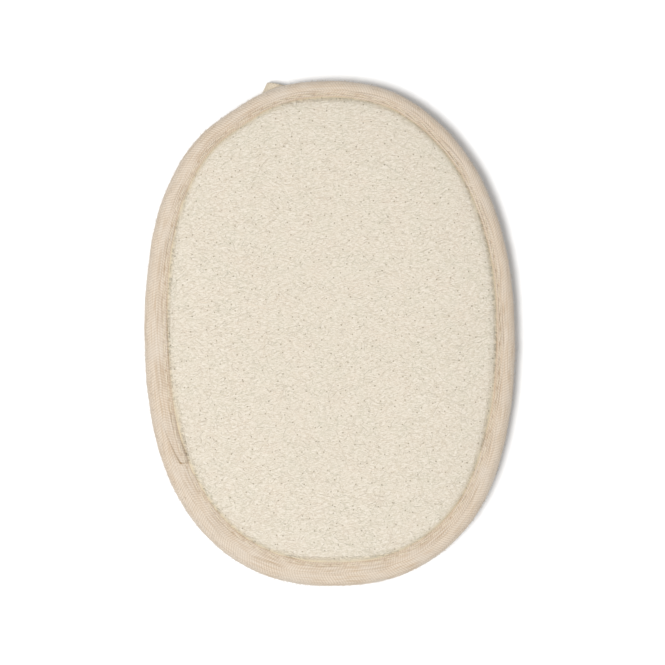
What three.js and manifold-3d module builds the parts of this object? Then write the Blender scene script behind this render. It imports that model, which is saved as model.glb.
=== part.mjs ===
// A natural loofah bath pad: a flattened sheet of loofah fibre on the front and cotton terry on the back,
// with a thin padding between them. A cotton herringbone tape is folded over the edge and sewn down on both
// faces, a cotton strap across the back holds the pad on the hand, and a small loop of tape hangs it up.
//
// Millimetres, +Z up. The pad lies on the flat middle of its strap, with the loofah face up and its long axis
// along Y. The origin is the centre of the strap's flat underside.

import Module from 'manifold-3d';
import * as THREE from 'three';
import { mergeVertices } from 'three/addons/utils/BufferGeometryUtils.js';

// The pad's outline, a rounded oval
const PAD_WIDTH = 110;
const PAD_LENGTH = 150;
const SQUARENESS = 2.3; // exponent of the oval, where 2 is an ellipse
const HAND_SEWN_WAVES = [
  { count: 3, share: 0.0028, turn: -1.41 },
  { count: 4, share: 0.0017, turn: 1.94 },
  { count: 5, share: 0.0027, turn: 0.79 },
];

// Stack of heights over the surface it lies on
const STRAP_THICK = 1.0;
const HAND_GAP = 6.0; // between the strap and the terry, under the pad's middle
const BACK_CROWN = 3.5; // from the rim's middle plane down to the lowest terry
const RIM_Z = STRAP_THICK + HAND_GAP + BACK_CROWN;
const CLEAR = 0.3; // between pieces that touch

// Binding tape, as folded over the edge
const TAPE_THICK = 0.9;
const TAPE_EASE = 0.1; // the fold's lining and the layers in it turn flat that much further in, each in turn
const FLAPS_TOGETHER = 12.8; // the front flap's width and the back flap's width
const FLAP_MEAN = FLAPS_TOGETHER / 2;
const FLAP_SLIP = 1.35; // the tape sits further on to the front on one side and less on the other
const FLAP_SLIP_SIDE = THREE.MathUtils.degToRad(235);
const NOSE_DEPTH = 3.4; // from the rim to where the fold has become flat
const NOSE_BEFORE_EDGE = 2.45; // and no nearer than this to the flap's inner edge, where the flap is narrow
const NOSE_HALF = 3.25; // half the thickness over the fold
const FLAP_RISE_FRONT = 0.35; // from the end of the fold to the flap's inner edge
const FLAP_RISE_BACK = 0.15;

// The tape's two ends overlap at the lower left: the upper end is turned under on a slant
const JOIN_ANGLE = THREE.MathUtils.degToRad(218.5);
const JOIN_RISE = 0.7;
const JOIN_OVERLAP = 13; // length over which the tape is double
const JOIN_FADE = 7; // length over which the doubled tape falls back to one layer
const JOIN_END_WIDTH = 2.4; // width left at the slanted end
const JOIN_SLANT = 0.14; // growth of that width per mm along the rim
const JOIN_EDGE = 0.35; // length of the step at the end
const CREASE_STEP = 0.3; // width of the step along the slanted fold

// Stitching along both flaps
const STITCH_LENGTH = 4.4;
const STITCH_FROM_EDGE = 1.3;
const THREAD_RADIUS = 0.2;
const THREAD_SIDES = 3;
const THREAD_HIGH = 0.12; // thread centre over the tape in the middle of a stitch
const THREAD_LOW = -0.08; // and where it goes down into the tape
const GROOVE_DEPTH = 0.42;
const GROOVE_HALF = 0.55;

// Loofah sheet
const LAYER_START = 1.2; // from the rim to the layers' cut edge, inside the fold
const LAYER_BACK = 0.2; // a layer's hidden face starts that much further in than its cut edge
const FREE_FROM = { loofah: 0.7, terry: 1.2 }; // from the tape's inner edge to the first ring that swells
const LOOFAH_SPRING = 1.9; // the sheet swells up where the tape lets it go
const LOOFAH_SPRING_RUN = 1.3;
const LOOFAH_CROWN = 2.0;
const CROWN_RUN = 26; // from the tape to where the crown is flat
const CROWN_POWER = 2.2;
const NET_HEIGHT = 0.9;
const QUICK_WAVE = 0.37; // length of each fibre's small bends against its long ones
const RIDGE_POWER = 2; // how narrow a fibre's ridge is against the hollow beside it
const NET_FADE = 2.5; // the net begins at the tape and has its full height this far in
const FIBRES = [
  { lean: 0.05, spacing: 6.2, bend: 1.5, wave: 7.5, height: 1.0 },
  { lean: -0.16, spacing: 9.0, bend: 2.2, wave: 10.5, height: 0.9 },
  { lean: 0.72, spacing: 10.5, bend: 2.0, wave: 9.0, height: 0.9 },
  { lean: -0.95, spacing: 12.0, bend: 2.6, wave: 12.0, height: 0.85 },
];

// Padding and terry
const PADDING_START = 9; // from the rim to where there is room for the padding
const PADDING_SHY = { front: 1, back: 4 }; // the padding's own edges begin that much further in
const PADDING_ABOVE = 1.4; // over the rim's middle plane, at the pad's middle
const PADDING_BELOW = 1.6;
const TERRY_SPRING = 0.5;
const TERRY_SPRING_RUN = 1.3;

// Hand strap
const STRAP_WIDTH = 36;
const STRAP_END_X = 51.3; // its ends lie between the terry and the tape
const STRAP_END_BELOW = 1.55; // the strap's middle there, under the rim's middle plane
const STRAP_EXIT_X = 46.5; // where it comes out from under the tape
const STRAP_FLAT_X = 24; // it lies flat within this
const STRAP_STEPS = 14;

// Hanging loop: one tape folded double, tacked to the back at the top and lying to the left behind the rim
const LOOP_CORNER = new THREE.Vector2(-16.0, 75.9); // the corner that shows past the rim
const LOOP_HEADING = THREE.MathUtils.degToRad(-13.6); // from the folded end to the tacked end
const LOOP_SKEW = THREE.MathUtils.degToRad(11.4); // the folded end is that far off square
const LOOP_WIDTH = 10;
const LOOP_LENGTH = 34;
const LOOP_TACK = 8; // length over which the two layers are tacked together
const LOOP_TAPE = 0.7;
const LOOP_TOP_Z = 6.6;
const LOOP_LOW_Z = 0.35;
const LOOP_LOWEST_AT = 0.42; // share of the free length, from the fold
const LOOP_STEPS = 12;

// Mesh sizes
const RIM_STEPS = 84;
const NOSE_STEPS = 4; // per quarter of the fold
const NET_RINGS = 26;
const TERRY_RINGS = 11;
const HIDDEN_RINGS = 7;
const FLAT_INSET = 26; // rings follow the rim as far in as this, then shrink towards the middle
const RIM_SAMPLES = 360;

const FULL_TURN = 2 * Math.PI;
const MERGE_WITHIN = 1e-4;
const { clamp, smoothstep, lerp } = THREE.MathUtils;

// The pad's edge, seen from above, anticlockwise from +X
class Rim extends THREE.Curve {
  getPoint(t, target = new THREE.Vector3()) {
    const angle = FULL_TURN * t;
    const across = Math.abs(Math.cos(angle) / (PAD_WIDTH / 2)) ** SQUARENESS;
    const along = Math.abs(Math.sin(angle) / (PAD_LENGTH / 2)) ** SQUARENESS;
    const wave = HAND_SEWN_WAVES.reduce((sum, w) => sum + w.share * Math.cos(w.count * angle - w.turn), 0);
    const radius = (across + along) ** (-1 / SQUARENESS) * (1 + wave);
    return target.set(radius * Math.cos(angle), radius * Math.sin(angle), 0);
  }
}

const rim = new Rim();
rim.arcLengthDivisions = 720;
const RIM_LENGTH = rim.getLength();
const rimSamples = rim.getSpacedPoints(RIM_SAMPLES);

// The share of the rim's length at a polar angle
function shareAtAngle(angle) {
  const lengths = rim.getLengths();
  return lengths[Math.round((angle / FULL_TURN) * rim.arcLengthDivisions)] / RIM_LENGTH;
}

// A place on the rim: its point, its outward direction and the widths of the two flaps there
function station(share) {
  const point = rim.getPointAt(share);
  const tangent = rim.getTangentAt(share);
  const slip = FLAP_SLIP * Math.cos(Math.atan2(point.y, point.x) - FLAP_SLIP_SIDE);
  return { share, point, outX: tangent.y, outY: -tangent.x, front: FLAP_MEAN + slip, back: FLAP_MEAN - slip };
}

// The point that lies a distance inside the rim at a station, at a height over the rim's middle plane
function inset(place, distance, height) {
  return new THREE.Vector3(
    place.point.x - distance * place.outX,
    place.point.y - distance * place.outY,
    RIM_Z + height,
  );
}

// How far a point lies inside the rim
function insetOf(x, y) {
  const squares = rimSamples.map((p) => (p.x - x) ** 2 + (p.y - y) ** 2);
  return Math.sqrt(Math.min(...squares));
}

// 0 at the tape's inner edge, rising to 1 where the crown is flat
function crown(beyondTape) {
  return 1 - (1 - clamp(beyondTape / CROWN_RUN, 0, 1)) ** CROWN_POWER;
}

// 0 at the tape's inner edge, rising quickly to 1 as the sheet swells out from under it
function spring(beyondTape, run) {
  return 1 - Math.exp(-Math.max(beyondTape - CLEAR / 2, 0) / run);
}

// Closes rings of points into a solid. The rings run from the first pole to the last, in any counts
function closedSkin(firstPole, rings, lastPole) {
  const points = [firstPole];
  const faces = [];
  const starts = rings.map((ring) => points.push(...ring) - ring.length);
  points.push(lastPole);
  const at = (r, i) => starts[r] + (i % rings[r].length);
  rings[0].forEach((_, i) => faces.push(0, at(0, i), at(0, i + 1)));
  for (let r = 0; r + 1 < rings.length; r++) joinRings(faces, at, r, rings[r].length, rings[r + 1].length);
  const last = rings.length - 1;
  rings[last].forEach((_, i) => faces.push(points.length - 1, at(last, i + 1), at(last, i)));
  return indexed(points, faces);
}

// Fills the band between two rings, stepping along whichever ring is behind
function joinRings(faces, at, r, countA, countB) {
  let a = 0;
  let b = 0;
  while (a < countA || b < countB) {
    if ((a + 1) / countA <= (b + 1) / countB) {
      faces.push(at(r, a), at(r + 1, b), at(r, a + 1));
      a++;
    } else {
      faces.push(at(r, a), at(r + 1, b), at(r + 1, b + 1));
      b++;
    }
  }
}

// Closes equal sections into a solid ring, with the last section joined to the first
function closedRing(sections) {
  const size = sections[0].length;
  const faces = [];
  sections.forEach((_, s) => {
    const here = s * size;
    const next = ((s + 1) % sections.length) * size;
    for (let i = 0; i < size; i++) {
      const j = (i + 1) % size;
      faces.push(here + i, next + j, next + i, here + i, here + j, next + j);
    }
  });
  return indexed(sections.flat(), faces);
}

const wasm = await Module();
wasm.setup();

// One closed body with another cut out of it
function cut(body, tool) {
  const [from, away] = [body, tool].map((geometry) => {
    const bare = geometry.clone();
    bare.deleteAttribute('normal');
    bare.deleteAttribute('uv');
    const merged = mergeVertices(bare, MERGE_WITHIN);
    return new wasm.Manifold(new wasm.Mesh({
      numProp: 3,
      vertProperties: merged.getAttribute('position').array,
      triVerts: new Uint32Array(merged.getIndex().array),
    }));
  });
  const { vertProperties, triVerts } = from.subtract(away).getMesh();
  const geometry = new THREE.BufferGeometry();
  geometry.setAttribute('position', new THREE.BufferAttribute(vertProperties, 3));
  geometry.setIndex(new THREE.BufferAttribute(triVerts, 1));
  geometry.computeVertexNormals();
  return geometry;
}

function indexed(points, faces) {
  const geometry = new THREE.BufferGeometry().setFromPoints(points);
  geometry.setIndex(faces);
  geometry.computeVertexNormals();
  return geometry;
}

// Stations evenly along the rim
function evenStations(count) {
  return Array.from({ length: count }, (_, i) => station(i / count));
}

// A ring at a distance inside the rim that may change along it
function ringAt(count, distanceAt, heightAt) {
  return evenStations(count).map((place) => {
    const distance = distanceAt(place);
    return inset(place, distance, heightAt(place, distance));
  });
}

// Rings from the pad's middle out to a distance inside the rim, six more points in each, on a height field
function innerRings(ringCount, distanceAt, heightOf) {
  const rings = [];
  for (let k = 1; k <= ringCount; k++) {
    const share = k / ringCount;
    rings.push(
      evenStations(6 * k).map((place) => {
        const edge = inset(place, distanceAt(place), 0);
        const deep = inset(place, FLAT_INSET, 0);
        const deepShare = deep.length() / edge.length();
        const p = share < deepShare
          ? deep.multiplyScalar(share / deepShare)
          : deep.lerp(edge, (share - deepShare) / (1 - deepShare));
        return new THREE.Vector3(p.x, p.y, RIM_Z + heightOf(p.x, p.y, place));
      }),
    );
  }
  return rings;
}

// Width of the flap on a side, positive for the front
function flapWidth(place, side) {
  return side > 0 ? place.front : place.back;
}

// How far inside the rim the fold has become flat on a side
function noseDepth(place, side) {
  return Math.min(NOSE_DEPTH, flapWidth(place, side) - NOSE_BEFORE_EDGE);
}

// The tape's fold, seen in section: a quarter turn from the rim up to the flat flap
function nose(step, depth, half, start) {
  const turn = (step / NOSE_STEPS) * (Math.PI / 2);
  return { distance: start + (depth - start) * (1 - Math.cos(turn)), height: half * Math.sin(turn) };
}

// Height of the flap's outer face over the rim's middle plane, with no joint
function flapHeight(place, distance, side) {
  const depth = noseDepth(place, side);
  const rise = side > 0 ? FLAP_RISE_FRONT : FLAP_RISE_BACK;
  return NOSE_HALF + rise * clamp((distance - depth) / (flapWidth(place, side) - depth), 0, 1);
}

const joinShare = shareAtAngle(JOIN_ANGLE);

// Distance along the rim back from the tape's end, positive on the doubled stretch
function beforeJoin(place) {
  return (joinShare - place.share) * RIM_LENGTH;
}

// Where the slanted fold of the tape's end lies, as a distance inside the rim
function joinCrease(place) {
  const width = JOIN_END_WIDTH + JOIN_SLANT * Math.max(beforeJoin(place), 0);
  const groove = place.front - STITCH_FROM_EDGE - GROOVE_HALF;
  return clamp(place.front - width, noseDepth(place, 1) + CREASE_STEP, groove - CREASE_STEP / 2);
}

// How much the doubled tape stands up at a place: nothing past its end, and fading back to one layer
function joinRise(place) {
  const back = beforeJoin(place);
  if (back < 0) return 0;
  const faded = smoothstep(back, JOIN_OVERLAP, JOIN_OVERLAP + JOIN_FADE);
  return JOIN_RISE * clamp(back / JOIN_EDGE, 0, 1) * (1 - faded);
}

// One section through the binding tape: from the front flap's inner edge round the fold to the back, and home
function tapeSection(place) {
  const outer = (distance, side, lift = 0) => {
    return inset(place, distance, side * (flapHeight(place, distance, side) + lift));
  };
  const inner = (distance, side) => outer(distance, side, -TAPE_THICK);
  const rise = joinRise(place);
  const crease = joinCrease(place);
  const flap = (side, width, lift) => {
    const seam = width - STITCH_FROM_EDGE;
    return [
      outer(width, side, lift),
      outer(seam + GROOVE_HALF, side, lift),
      outer(seam, side, lift - GROOVE_DEPTH),
      outer(seam - GROOVE_HALF, side, lift),
    ];
  };
  const fold = [];
  for (let step = NOSE_STEPS; step >= -NOSE_STEPS; step--) {
    const part = nose(Math.abs(step), noseDepth(place, step), NOSE_HALF, 0);
    fold.push(inset(place, part.distance, Math.sign(step) * part.height));
  }
  const lining = [];
  for (let step = -2; step <= 2; step++) {
    const depth = noseDepth(place, step) + TAPE_EASE;
    const part = nose(2 * Math.abs(step), depth, NOSE_HALF - TAPE_THICK, TAPE_THICK);
    lining.push(inset(place, part.distance, Math.sign(step) * part.height));
  }
  return [
    ...flap(1, place.front, rise),
    outer(crease + CREASE_STEP / 3, 1, rise),
    outer(crease - (2 * CREASE_STEP) / 3, 1, 0),
    ...fold,
    ...flap(-1, place.back, rise).reverse(),
    inner(place.back, -1),
    ...lining,
    inner(place.front, 1),
  ];
}

// Stations for the tape: even round the rim, with the step at the tape's end added
function tapeStations() {
  const shares = Array.from({ length: RIM_STEPS }, (_, i) => i / RIM_STEPS);
  const edge = JOIN_EDGE / RIM_LENGTH;
  const kept = shares.filter((share) => Math.abs(share - joinShare) > 2 * edge);
  return [...kept, joinShare - edge, joinShare + edge / 20].sort((a, b) => a - b).map(station);
}

// The row of stitches on one face: a thread that goes down into the tape between stitches
function stitchRow(side) {
  const stitches = Math.round(RIM_LENGTH / STITCH_LENGTH);
  const sections = evenStations(2 * stitches).map((place, i) => {
    const seam = flapWidth(place, side) - STITCH_FROM_EDGE;
    const lift = (i % 2 ? THREAD_HIGH : THREAD_LOW) + joinRise(place);
    const height = flapHeight(place, seam, side) + lift;
    return Array.from({ length: THREAD_SIDES }, (_, k) => {
      const turn = -side * (k / THREAD_SIDES) * FULL_TURN;
      const sideways = THREAD_RADIUS * Math.sin(turn);
      return inset(place, seam + sideways, side * (height + THREAD_RADIUS * Math.cos(turn)));
    });
  });
  return closedRing(sections);
}

// Height, from 0 to 1, of the net of fibres that stands up from the loofah sheet: bent ridges, most of them
// running across the pad, with the highest one counting where they cross
function fibreNet(x, y) {
  return FIBRES.reduce((highest, fibre, i) => {
    const along = x * Math.cos(fibre.lean) + y * Math.sin(fibre.lean);
    const across = y * Math.cos(fibre.lean) - x * Math.sin(fibre.lean);
    const bent = across
      + fibre.bend * Math.sin(along / fibre.wave + i)
      + 0.5 * fibre.bend * Math.sin(along / (QUICK_WAVE * fibre.wave) + across / fibre.spacing);
    const place = bent / fibre.spacing;
    const ridge = Math.abs(2 * (place - Math.floor(place)) - 1);
    return Math.max(highest, fibre.height * ridge ** RIDGE_POWER);
  }, 0);
}

// The loofah's upper surface over the rim's middle plane
function loofahTop(x, y, place) {
  const beyond = insetOf(x, y) - place.front;
  const held = flapHeight(place, place.front, 1) - TAPE_THICK - CLEAR;
  return held
    + LOOFAH_SPRING * spring(beyond, LOOFAH_SPRING_RUN)
    + LOOFAH_CROWN * crown(beyond)
    + NET_HEIGHT * (fibreNet(x, y) - 0.5) * smoothstep(beyond, 0, NET_FADE);
}

// The terry's lower surface under the rim's middle plane, as a positive depth
function terryDepth(x, y, place) {
  const beyond = insetOf(x, y) - place.back;
  const held = flapHeight(place, place.back, -1) - TAPE_THICK - CLEAR;
  const left = BACK_CROWN - held - TERRY_SPRING;
  return held + TERRY_SPRING * spring(beyond, TERRY_SPRING_RUN) + left * crown(beyond);
}

// Half of the room between loofah and terry, on one side: nothing at the edge, then as thick as the padding
function paddingRoom(x, y, share) {
  return share * crown(insetOf(x, y) - PADDING_START);
}

// The edge of a layer inside the tape's fold, from its flat face to where the tape's flap ends
function layerEdge(count, side) {
  const half = NOSE_HALF - TAPE_THICK - CLEAR;
  const edge = [1, 2, 4].map((step) => {
    const part = (place) => nose(step, noseDepth(place, side) + 2 * TAPE_EASE, half, LAYER_START);
    return ringAt(count, (place) => part(place).distance, (place) => side * part(place).height);
  });
  const flat = ringAt(
    count,
    (place) => flapWidth(place, side) + TAPE_EASE,
    (place, distance) => side * (flapHeight(place, distance, side) - TAPE_THICK - CLEAR),
  );
  return [...edge, flat];
}

// The loofah sheet: a raised net on top, and a plain hollow underneath where the padding lies
function loofahSheet() {
  const rimCount = 6 * NET_RINGS;
  const top = innerRings(NET_RINGS, (place) => place.front + FREE_FROM.loofah, loofahTop);
  const edge = layerEdge(rimCount, 1).reverse();
  const under = ringAt(rimCount, () => LAYER_START + LAYER_BACK, () => CLEAR / 2);
  const room = (x, y) => CLEAR / 2 + paddingRoom(x, y, PADDING_ABOVE + CLEAR / 2);
  const below = innerRings(HIDDEN_RINGS, () => PADDING_START, room);
  const topPole = new THREE.Vector3(0, 0, RIM_Z + loofahTop(0, 0, station(0)));
  const lowPole = new THREE.Vector3(0, 0, RIM_Z + CLEAR + PADDING_ABOVE);
  return closedSkin(topPole, [...top, ...edge, under, ...below.reverse()], lowPole);
}

// The terry back: a crowned sheet with room above it for the padding, pressed in where the strap lies on it
function terryBack() {
  const rimCount = 6 * TERRY_RINGS;
  const room = (x, y) => -CLEAR / 2 - paddingRoom(x, y, PADDING_BELOW + CLEAR / 2);
  const top = innerRings(HIDDEN_RINGS, () => PADDING_START, room);
  const over = ringAt(rimCount, () => LAYER_START + LAYER_BACK, () => -CLEAR / 2);
  const edge = layerEdge(rimCount, -1);
  const depth = (x, y, place) => -terryDepth(x, y, place);
  const below = innerRings(TERRY_RINGS, (place) => place.back + FREE_FROM.terry, depth);
  const topPole = new THREE.Vector3(0, 0, RIM_Z - CLEAR - PADDING_BELOW);
  const lowPole = new THREE.Vector3(0, 0, RIM_Z - BACK_CROWN);
  const sheet = closedSkin(topPole, [...top, over, ...edge, ...below.reverse()], lowPole);
  const above = STRAP_THICK / 2 + CLEAR;
  return cut(sheet, strapBand(above, BACK_CROWN, STRAP_WIDTH + 2 * CLEAR, STRAP_END_X + CLEAR));
}

// The padding between them, thinning out to nothing before it reaches the tape
function innerPadding() {
  const above = (x, y) => paddingRoom(x, y, PADDING_ABOVE);
  const below = (x, y) => -paddingRoom(x, y, PADDING_BELOW);
  const top = innerRings(HIDDEN_RINGS, () => PADDING_START + PADDING_SHY.front, above);
  const low = innerRings(HIDDEN_RINGS - 1, () => PADDING_START + PADDING_SHY.back, below);
  const topPole = new THREE.Vector3(0, 0, RIM_Z + PADDING_ABOVE);
  const lowPole = new THREE.Vector3(0, 0, RIM_Z - PADDING_BELOW);
  return closedSkin(topPole, [...top, ...low.reverse()], lowPole);
}

// Height of the strap's middle at a distance from the pad's long axis
function strapHeight(x) {
  const high = RIM_Z - STRAP_END_BELOW;
  return lerp(STRAP_THICK / 2, high, smoothstep(Math.abs(x), STRAP_FLAT_X, STRAP_EXIT_X));
}

// A band that follows the strap's middle line, reaching above and below it, as wide as asked and as far out
function strapBand(above, below, width, endX) {
  const xs = [endX];
  for (let i = 0; i <= STRAP_STEPS; i++) xs.push(lerp(STRAP_EXIT_X, STRAP_FLAT_X, i / STRAP_STEPS));
  const line = [...xs, ...xs.map((x) => -x).reverse()].map((x) => new THREE.Vector2(x, strapHeight(x)));
  const shape = new THREE.Shape([...sideLine(line, -above), ...sideLine(line, below).reverse()]);
  return new THREE.ExtrudeGeometry(shape, { depth: width, bevelEnabled: false })
    .translate(0, 0, -width / 2)
    .rotateX(Math.PI / 2);
}

// The strap itself, one flat webbing
function handStrap() {
  return strapBand(STRAP_THICK / 2, STRAP_THICK / 2, STRAP_WIDTH, STRAP_END_X);
}

// A line moved sideways by a distance, square to itself at every point
function sideLine(line, distance) {
  return line.map((p, i) => {
    const ahead = line[Math.min(i + 1, line.length - 1)];
    const behind = line[Math.max(i - 1, 0)];
    const along = ahead.clone().sub(behind).normalize();
    return new THREE.Vector2(p.x - along.y * distance, p.y + along.x * distance);
  });
}

// The loop's tape seen from its edge: out from the tack along the back, round the fold and home lower down
function loopShape() {
  const free = LOOP_LENGTH - LOOP_TACK;
  const high = LOOP_TOP_Z - LOOP_TAPE;
  const low = LOOP_LOW_Z + LOOP_TAPE;
  const lowest = LOOP_LOWEST_AT * free;
  const foldHalf = (LOOP_TOP_Z - LOOP_LOW_Z) / 2;
  const fold = (grow) => {
    const half = foldHalf - LOOP_TAPE + grow;
    return Array.from({ length: LOOP_STEPS / 2 + 1 }, (_, i) => {
      const turn = (i / (LOOP_STEPS / 2)) * Math.PI;
      return new THREE.Vector2(
        foldHalf - half * Math.sin(turn),
        LOOP_TOP_Z - foldHalf + half * Math.cos(turn),
      );
    });
  };
  const belly = (height) => Array.from({ length: LOOP_STEPS }, (_, i) => {
    const s = lerp(lowest, free, (i + 1) / LOOP_STEPS);
    const meet = LOOP_TOP_Z - 2 * LOOP_TAPE + height;
    return new THREE.Vector2(s, lerp(LOOP_LOW_Z + height, meet, smoothstep(s, lowest, free)));
  });
  const outline = new THREE.Shape([
    new THREE.Vector2(LOOP_LENGTH, LOOP_TOP_Z),
    ...fold(LOOP_TAPE),
    new THREE.Vector2(lowest, LOOP_LOW_Z),
    ...belly(0),
    new THREE.Vector2(LOOP_LENGTH, LOOP_TOP_Z - 2 * LOOP_TAPE),
  ]);
  outline.holes.push(new THREE.Path([
    new THREE.Vector2(free - LOOP_TAPE, high),
    ...fold(0),
    new THREE.Vector2(lowest, low),
    ...belly(LOOP_TAPE).filter((p) => p.x < free - LOOP_TAPE && p.y < high - CLEAR),
  ]));
  return outline;
}

// The hanging loop, set with its free corner past the rim
function hangingLoop() {
  const band = new THREE.ExtrudeGeometry(loopShape(), { depth: LOOP_WIDTH, bevelEnabled: false });
  const skew = new THREE.Matrix4().makeShear(0, 0, 0, 0, -Math.tan(LOOP_SKEW), 0);
  return band
    .applyMatrix4(skew)
    .rotateX(Math.PI / 2)
    .rotateZ(LOOP_HEADING)
    .translate(LOOP_CORNER.x, LOOP_CORNER.y, 0);
}

function cloth(colour, roughness) {
  return new THREE.MeshStandardMaterial({ color: colour, roughness, metalness: 0 });
}

function piece(name, geometry, material) {
  const mesh = new THREE.Mesh(geometry, material);
  mesh.name = name;
  return mesh;
}

const pad = new THREE.Group();
const thread = cloth(0xe4d6bf, 0.8);
pad.add(
  piece('loofah_sheet', loofahSheet(), cloth(0xe5dcca, 0.95)),
  piece('inner_padding', innerPadding(), cloth(0xf1ece0, 0.95)),
  piece('terry_back', terryBack(), cloth(0xeee5d3, 0.95)),
  piece('binding_tape', closedRing(tapeStations().map(tapeSection)), cloth(0xdcccb2, 0.9)),
  piece('front_stitching', stitchRow(1), thread),
  piece('back_stitching', stitchRow(-1), thread),
  piece('hand_strap', handStrap(), cloth(0xdecfb7, 0.9)),
  piece('hanging_loop', hangingLoop(), cloth(0xdbccb4, 0.9)),
);

export default pad;
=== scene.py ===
"""The looks of the natural loofah bath pad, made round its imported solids.

The pad lies loofah face up, with its long axis along Y. Every surface is worked out in millimetres from the
same driving sizes as the solids, as arrays of two parameters, and goes into its mesh in metres.
"""

from __future__ import annotations

import logging
import math
from dataclasses import dataclass, field
from enum import Enum

import bpy
import numpy as np
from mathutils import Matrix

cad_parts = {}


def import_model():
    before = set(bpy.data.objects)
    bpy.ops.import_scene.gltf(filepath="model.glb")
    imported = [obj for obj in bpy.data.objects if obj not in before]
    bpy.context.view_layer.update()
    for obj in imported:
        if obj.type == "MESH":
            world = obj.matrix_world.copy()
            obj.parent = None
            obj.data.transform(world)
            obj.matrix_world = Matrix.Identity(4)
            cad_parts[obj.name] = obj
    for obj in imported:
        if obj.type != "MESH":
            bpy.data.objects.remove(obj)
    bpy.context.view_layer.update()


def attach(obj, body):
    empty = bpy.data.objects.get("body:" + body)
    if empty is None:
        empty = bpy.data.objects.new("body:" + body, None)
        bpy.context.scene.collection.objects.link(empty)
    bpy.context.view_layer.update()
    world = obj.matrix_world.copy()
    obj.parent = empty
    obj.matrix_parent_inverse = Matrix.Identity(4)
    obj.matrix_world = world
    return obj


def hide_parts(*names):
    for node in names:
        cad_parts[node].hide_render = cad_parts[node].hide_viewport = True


LOG = logging.getLogger("loofah_pad")
MM = 0.001
TAU = 2 * math.pi
BODY = "root"
# Point attribute that carries each strand's own tone and the painted shade in creases, holes and along the
# tape's edges.
TONE_AND_SHADE = "tone"
Array = np.ndarray
Socket = bpy.types.NodeSocket
Colour = tuple[float, float, float, float]


class Slot(Enum):
    """The record's material slots."""

    LOOFAH = "loofah"
    PADDING = "padding"
    TERRY = "terry"
    BINDING = "binding"
    THREAD = "thread"
    WEBBING = "webbing"
    LOOP_TAPE = "loop_tape"


class Side(Enum):
    """The two faces of the pad, as the sign of Z."""

    FRONT = 1
    BACK = -1


def smooth(value: Array, low: float, high: float) -> Array:
    """A smooth step: 0 below low, 1 above high, and 3t^2 - 2t^3 between them."""
    t = np.clip((value - low) / (high - low), 0.0, 1.0)
    return t * t * (3.0 - 2.0 * t)


def bell(value: Array, half: float) -> Array:
    """A bell curve, exp(-t^2), where t is the value over the half width."""
    return np.exp(-(value / half) ** 2)


def xyz(x: Array, y: Array, z: Array) -> Array:
    """Points from their coordinates, which are repeated where their shapes differ."""
    return np.stack(np.broadcast_arrays(x, y, z), axis=-1)


def unit(vectors: Array) -> Array:
    """The vectors at a length of 1."""
    return vectors / (np.linalg.norm(vectors, axis=-1, keepdims=True) + 1e-9)


def way(path: Array) -> Array:
    """How far along a path each of its points lies."""
    return np.concatenate([[0.0], np.cumsum(np.linalg.norm(np.diff(path, axis=0), axis=1))])


@dataclass
class Ripple:
    """A smooth field of bumps: a sum of sine waves of about one length in random directions.

    Attributes:
        length: The waves' usual length, in millimetres.
        seed: Seed of the random draw.
        stretch: How many times longer the bumps are along X than along Y.
        count: How many waves are added.
    """

    length: float
    seed: int
    stretch: float = 1.0
    count: int = 9

    def __call__(self, x: Array, y: Array) -> Array:
        """Gives the field at some points.

        Args:
            x: The points' x.
            y: Their y.

        Returns:
            Heights, mostly between -1 and 1.
        """
        draw = np.random.default_rng(self.seed)
        total = np.zeros(np.broadcast(x, y).shape)
        for _ in range(self.count):
            turn, phase = draw.uniform(0, TAU, 2)
            pace = TAU / (self.length * draw.uniform(0.7, 1.4))
            total += np.sin(pace * (math.cos(turn) * x / self.stretch + math.sin(turn) * y) + phase)
        return total / math.sqrt(2.0 * self.count) * 1.2


@dataclass(frozen=True)
class PadShape:
    """The sizes that the pieces share, in millimetres.

    They are the solids' own, but for the seam's place and the presses: places at an angle in degrees where
    the soft edge is pressed in or out by some millimetres, over a half width in degrees.
    """

    half_width: float = 55.0
    half_length: float = 75.0
    squareness: float = 2.3
    waves: tuple[tuple[int, float, float], ...] = (
        (3, 0.0028, -1.41), (4, 0.0017, 1.94), (5, 0.0027, 0.79))
    presses: tuple[tuple[float, float, float], ...] = (
        (111.0, -1.1, 8.0), (158.0, -0.4, 12.0), (60.0, -0.35, 10.0), (310.0, 0.45, 12.0))
    rim_z: float = 10.5
    clear: float = 0.3
    tape: float = 0.9
    flap_mean: float = 6.4
    flap_slip: float = 1.35
    slip_side: float = math.radians(235)
    nose_depth: float = 3.4
    nose_before_edge: float = 2.45
    nose_half: float = 3.25
    rise: dict[Side, float] = field(default_factory=lambda: {Side.FRONT: 0.35, Side.BACK: 0.15})
    layer_start: float = 1.2
    layer_in: float = 0.2
    crown_run: float = 26.0
    crown_power: float = 2.2
    deep_inset: float = 26.0
    hollow_inset: float = 9.0
    seam_from_edge: float = 1.05
    stitches: int = 94


@dataclass
class Places:
    """Places on the rim, as arrays: their points, outward directions and flap widths."""

    share: Array
    x: Array
    y: Array
    out_x: Array
    out_y: Array
    flap: dict[Side, Array]

    def inward(self, distance: Array, aside: Array = 0.0) -> tuple[Array, Array]:
        """Points at a distance inside the rim, moved aside along it."""
        return (self.x - distance * self.out_x - aside * self.out_y,
                self.y - distance * self.out_y + aside * self.out_x)


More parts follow.
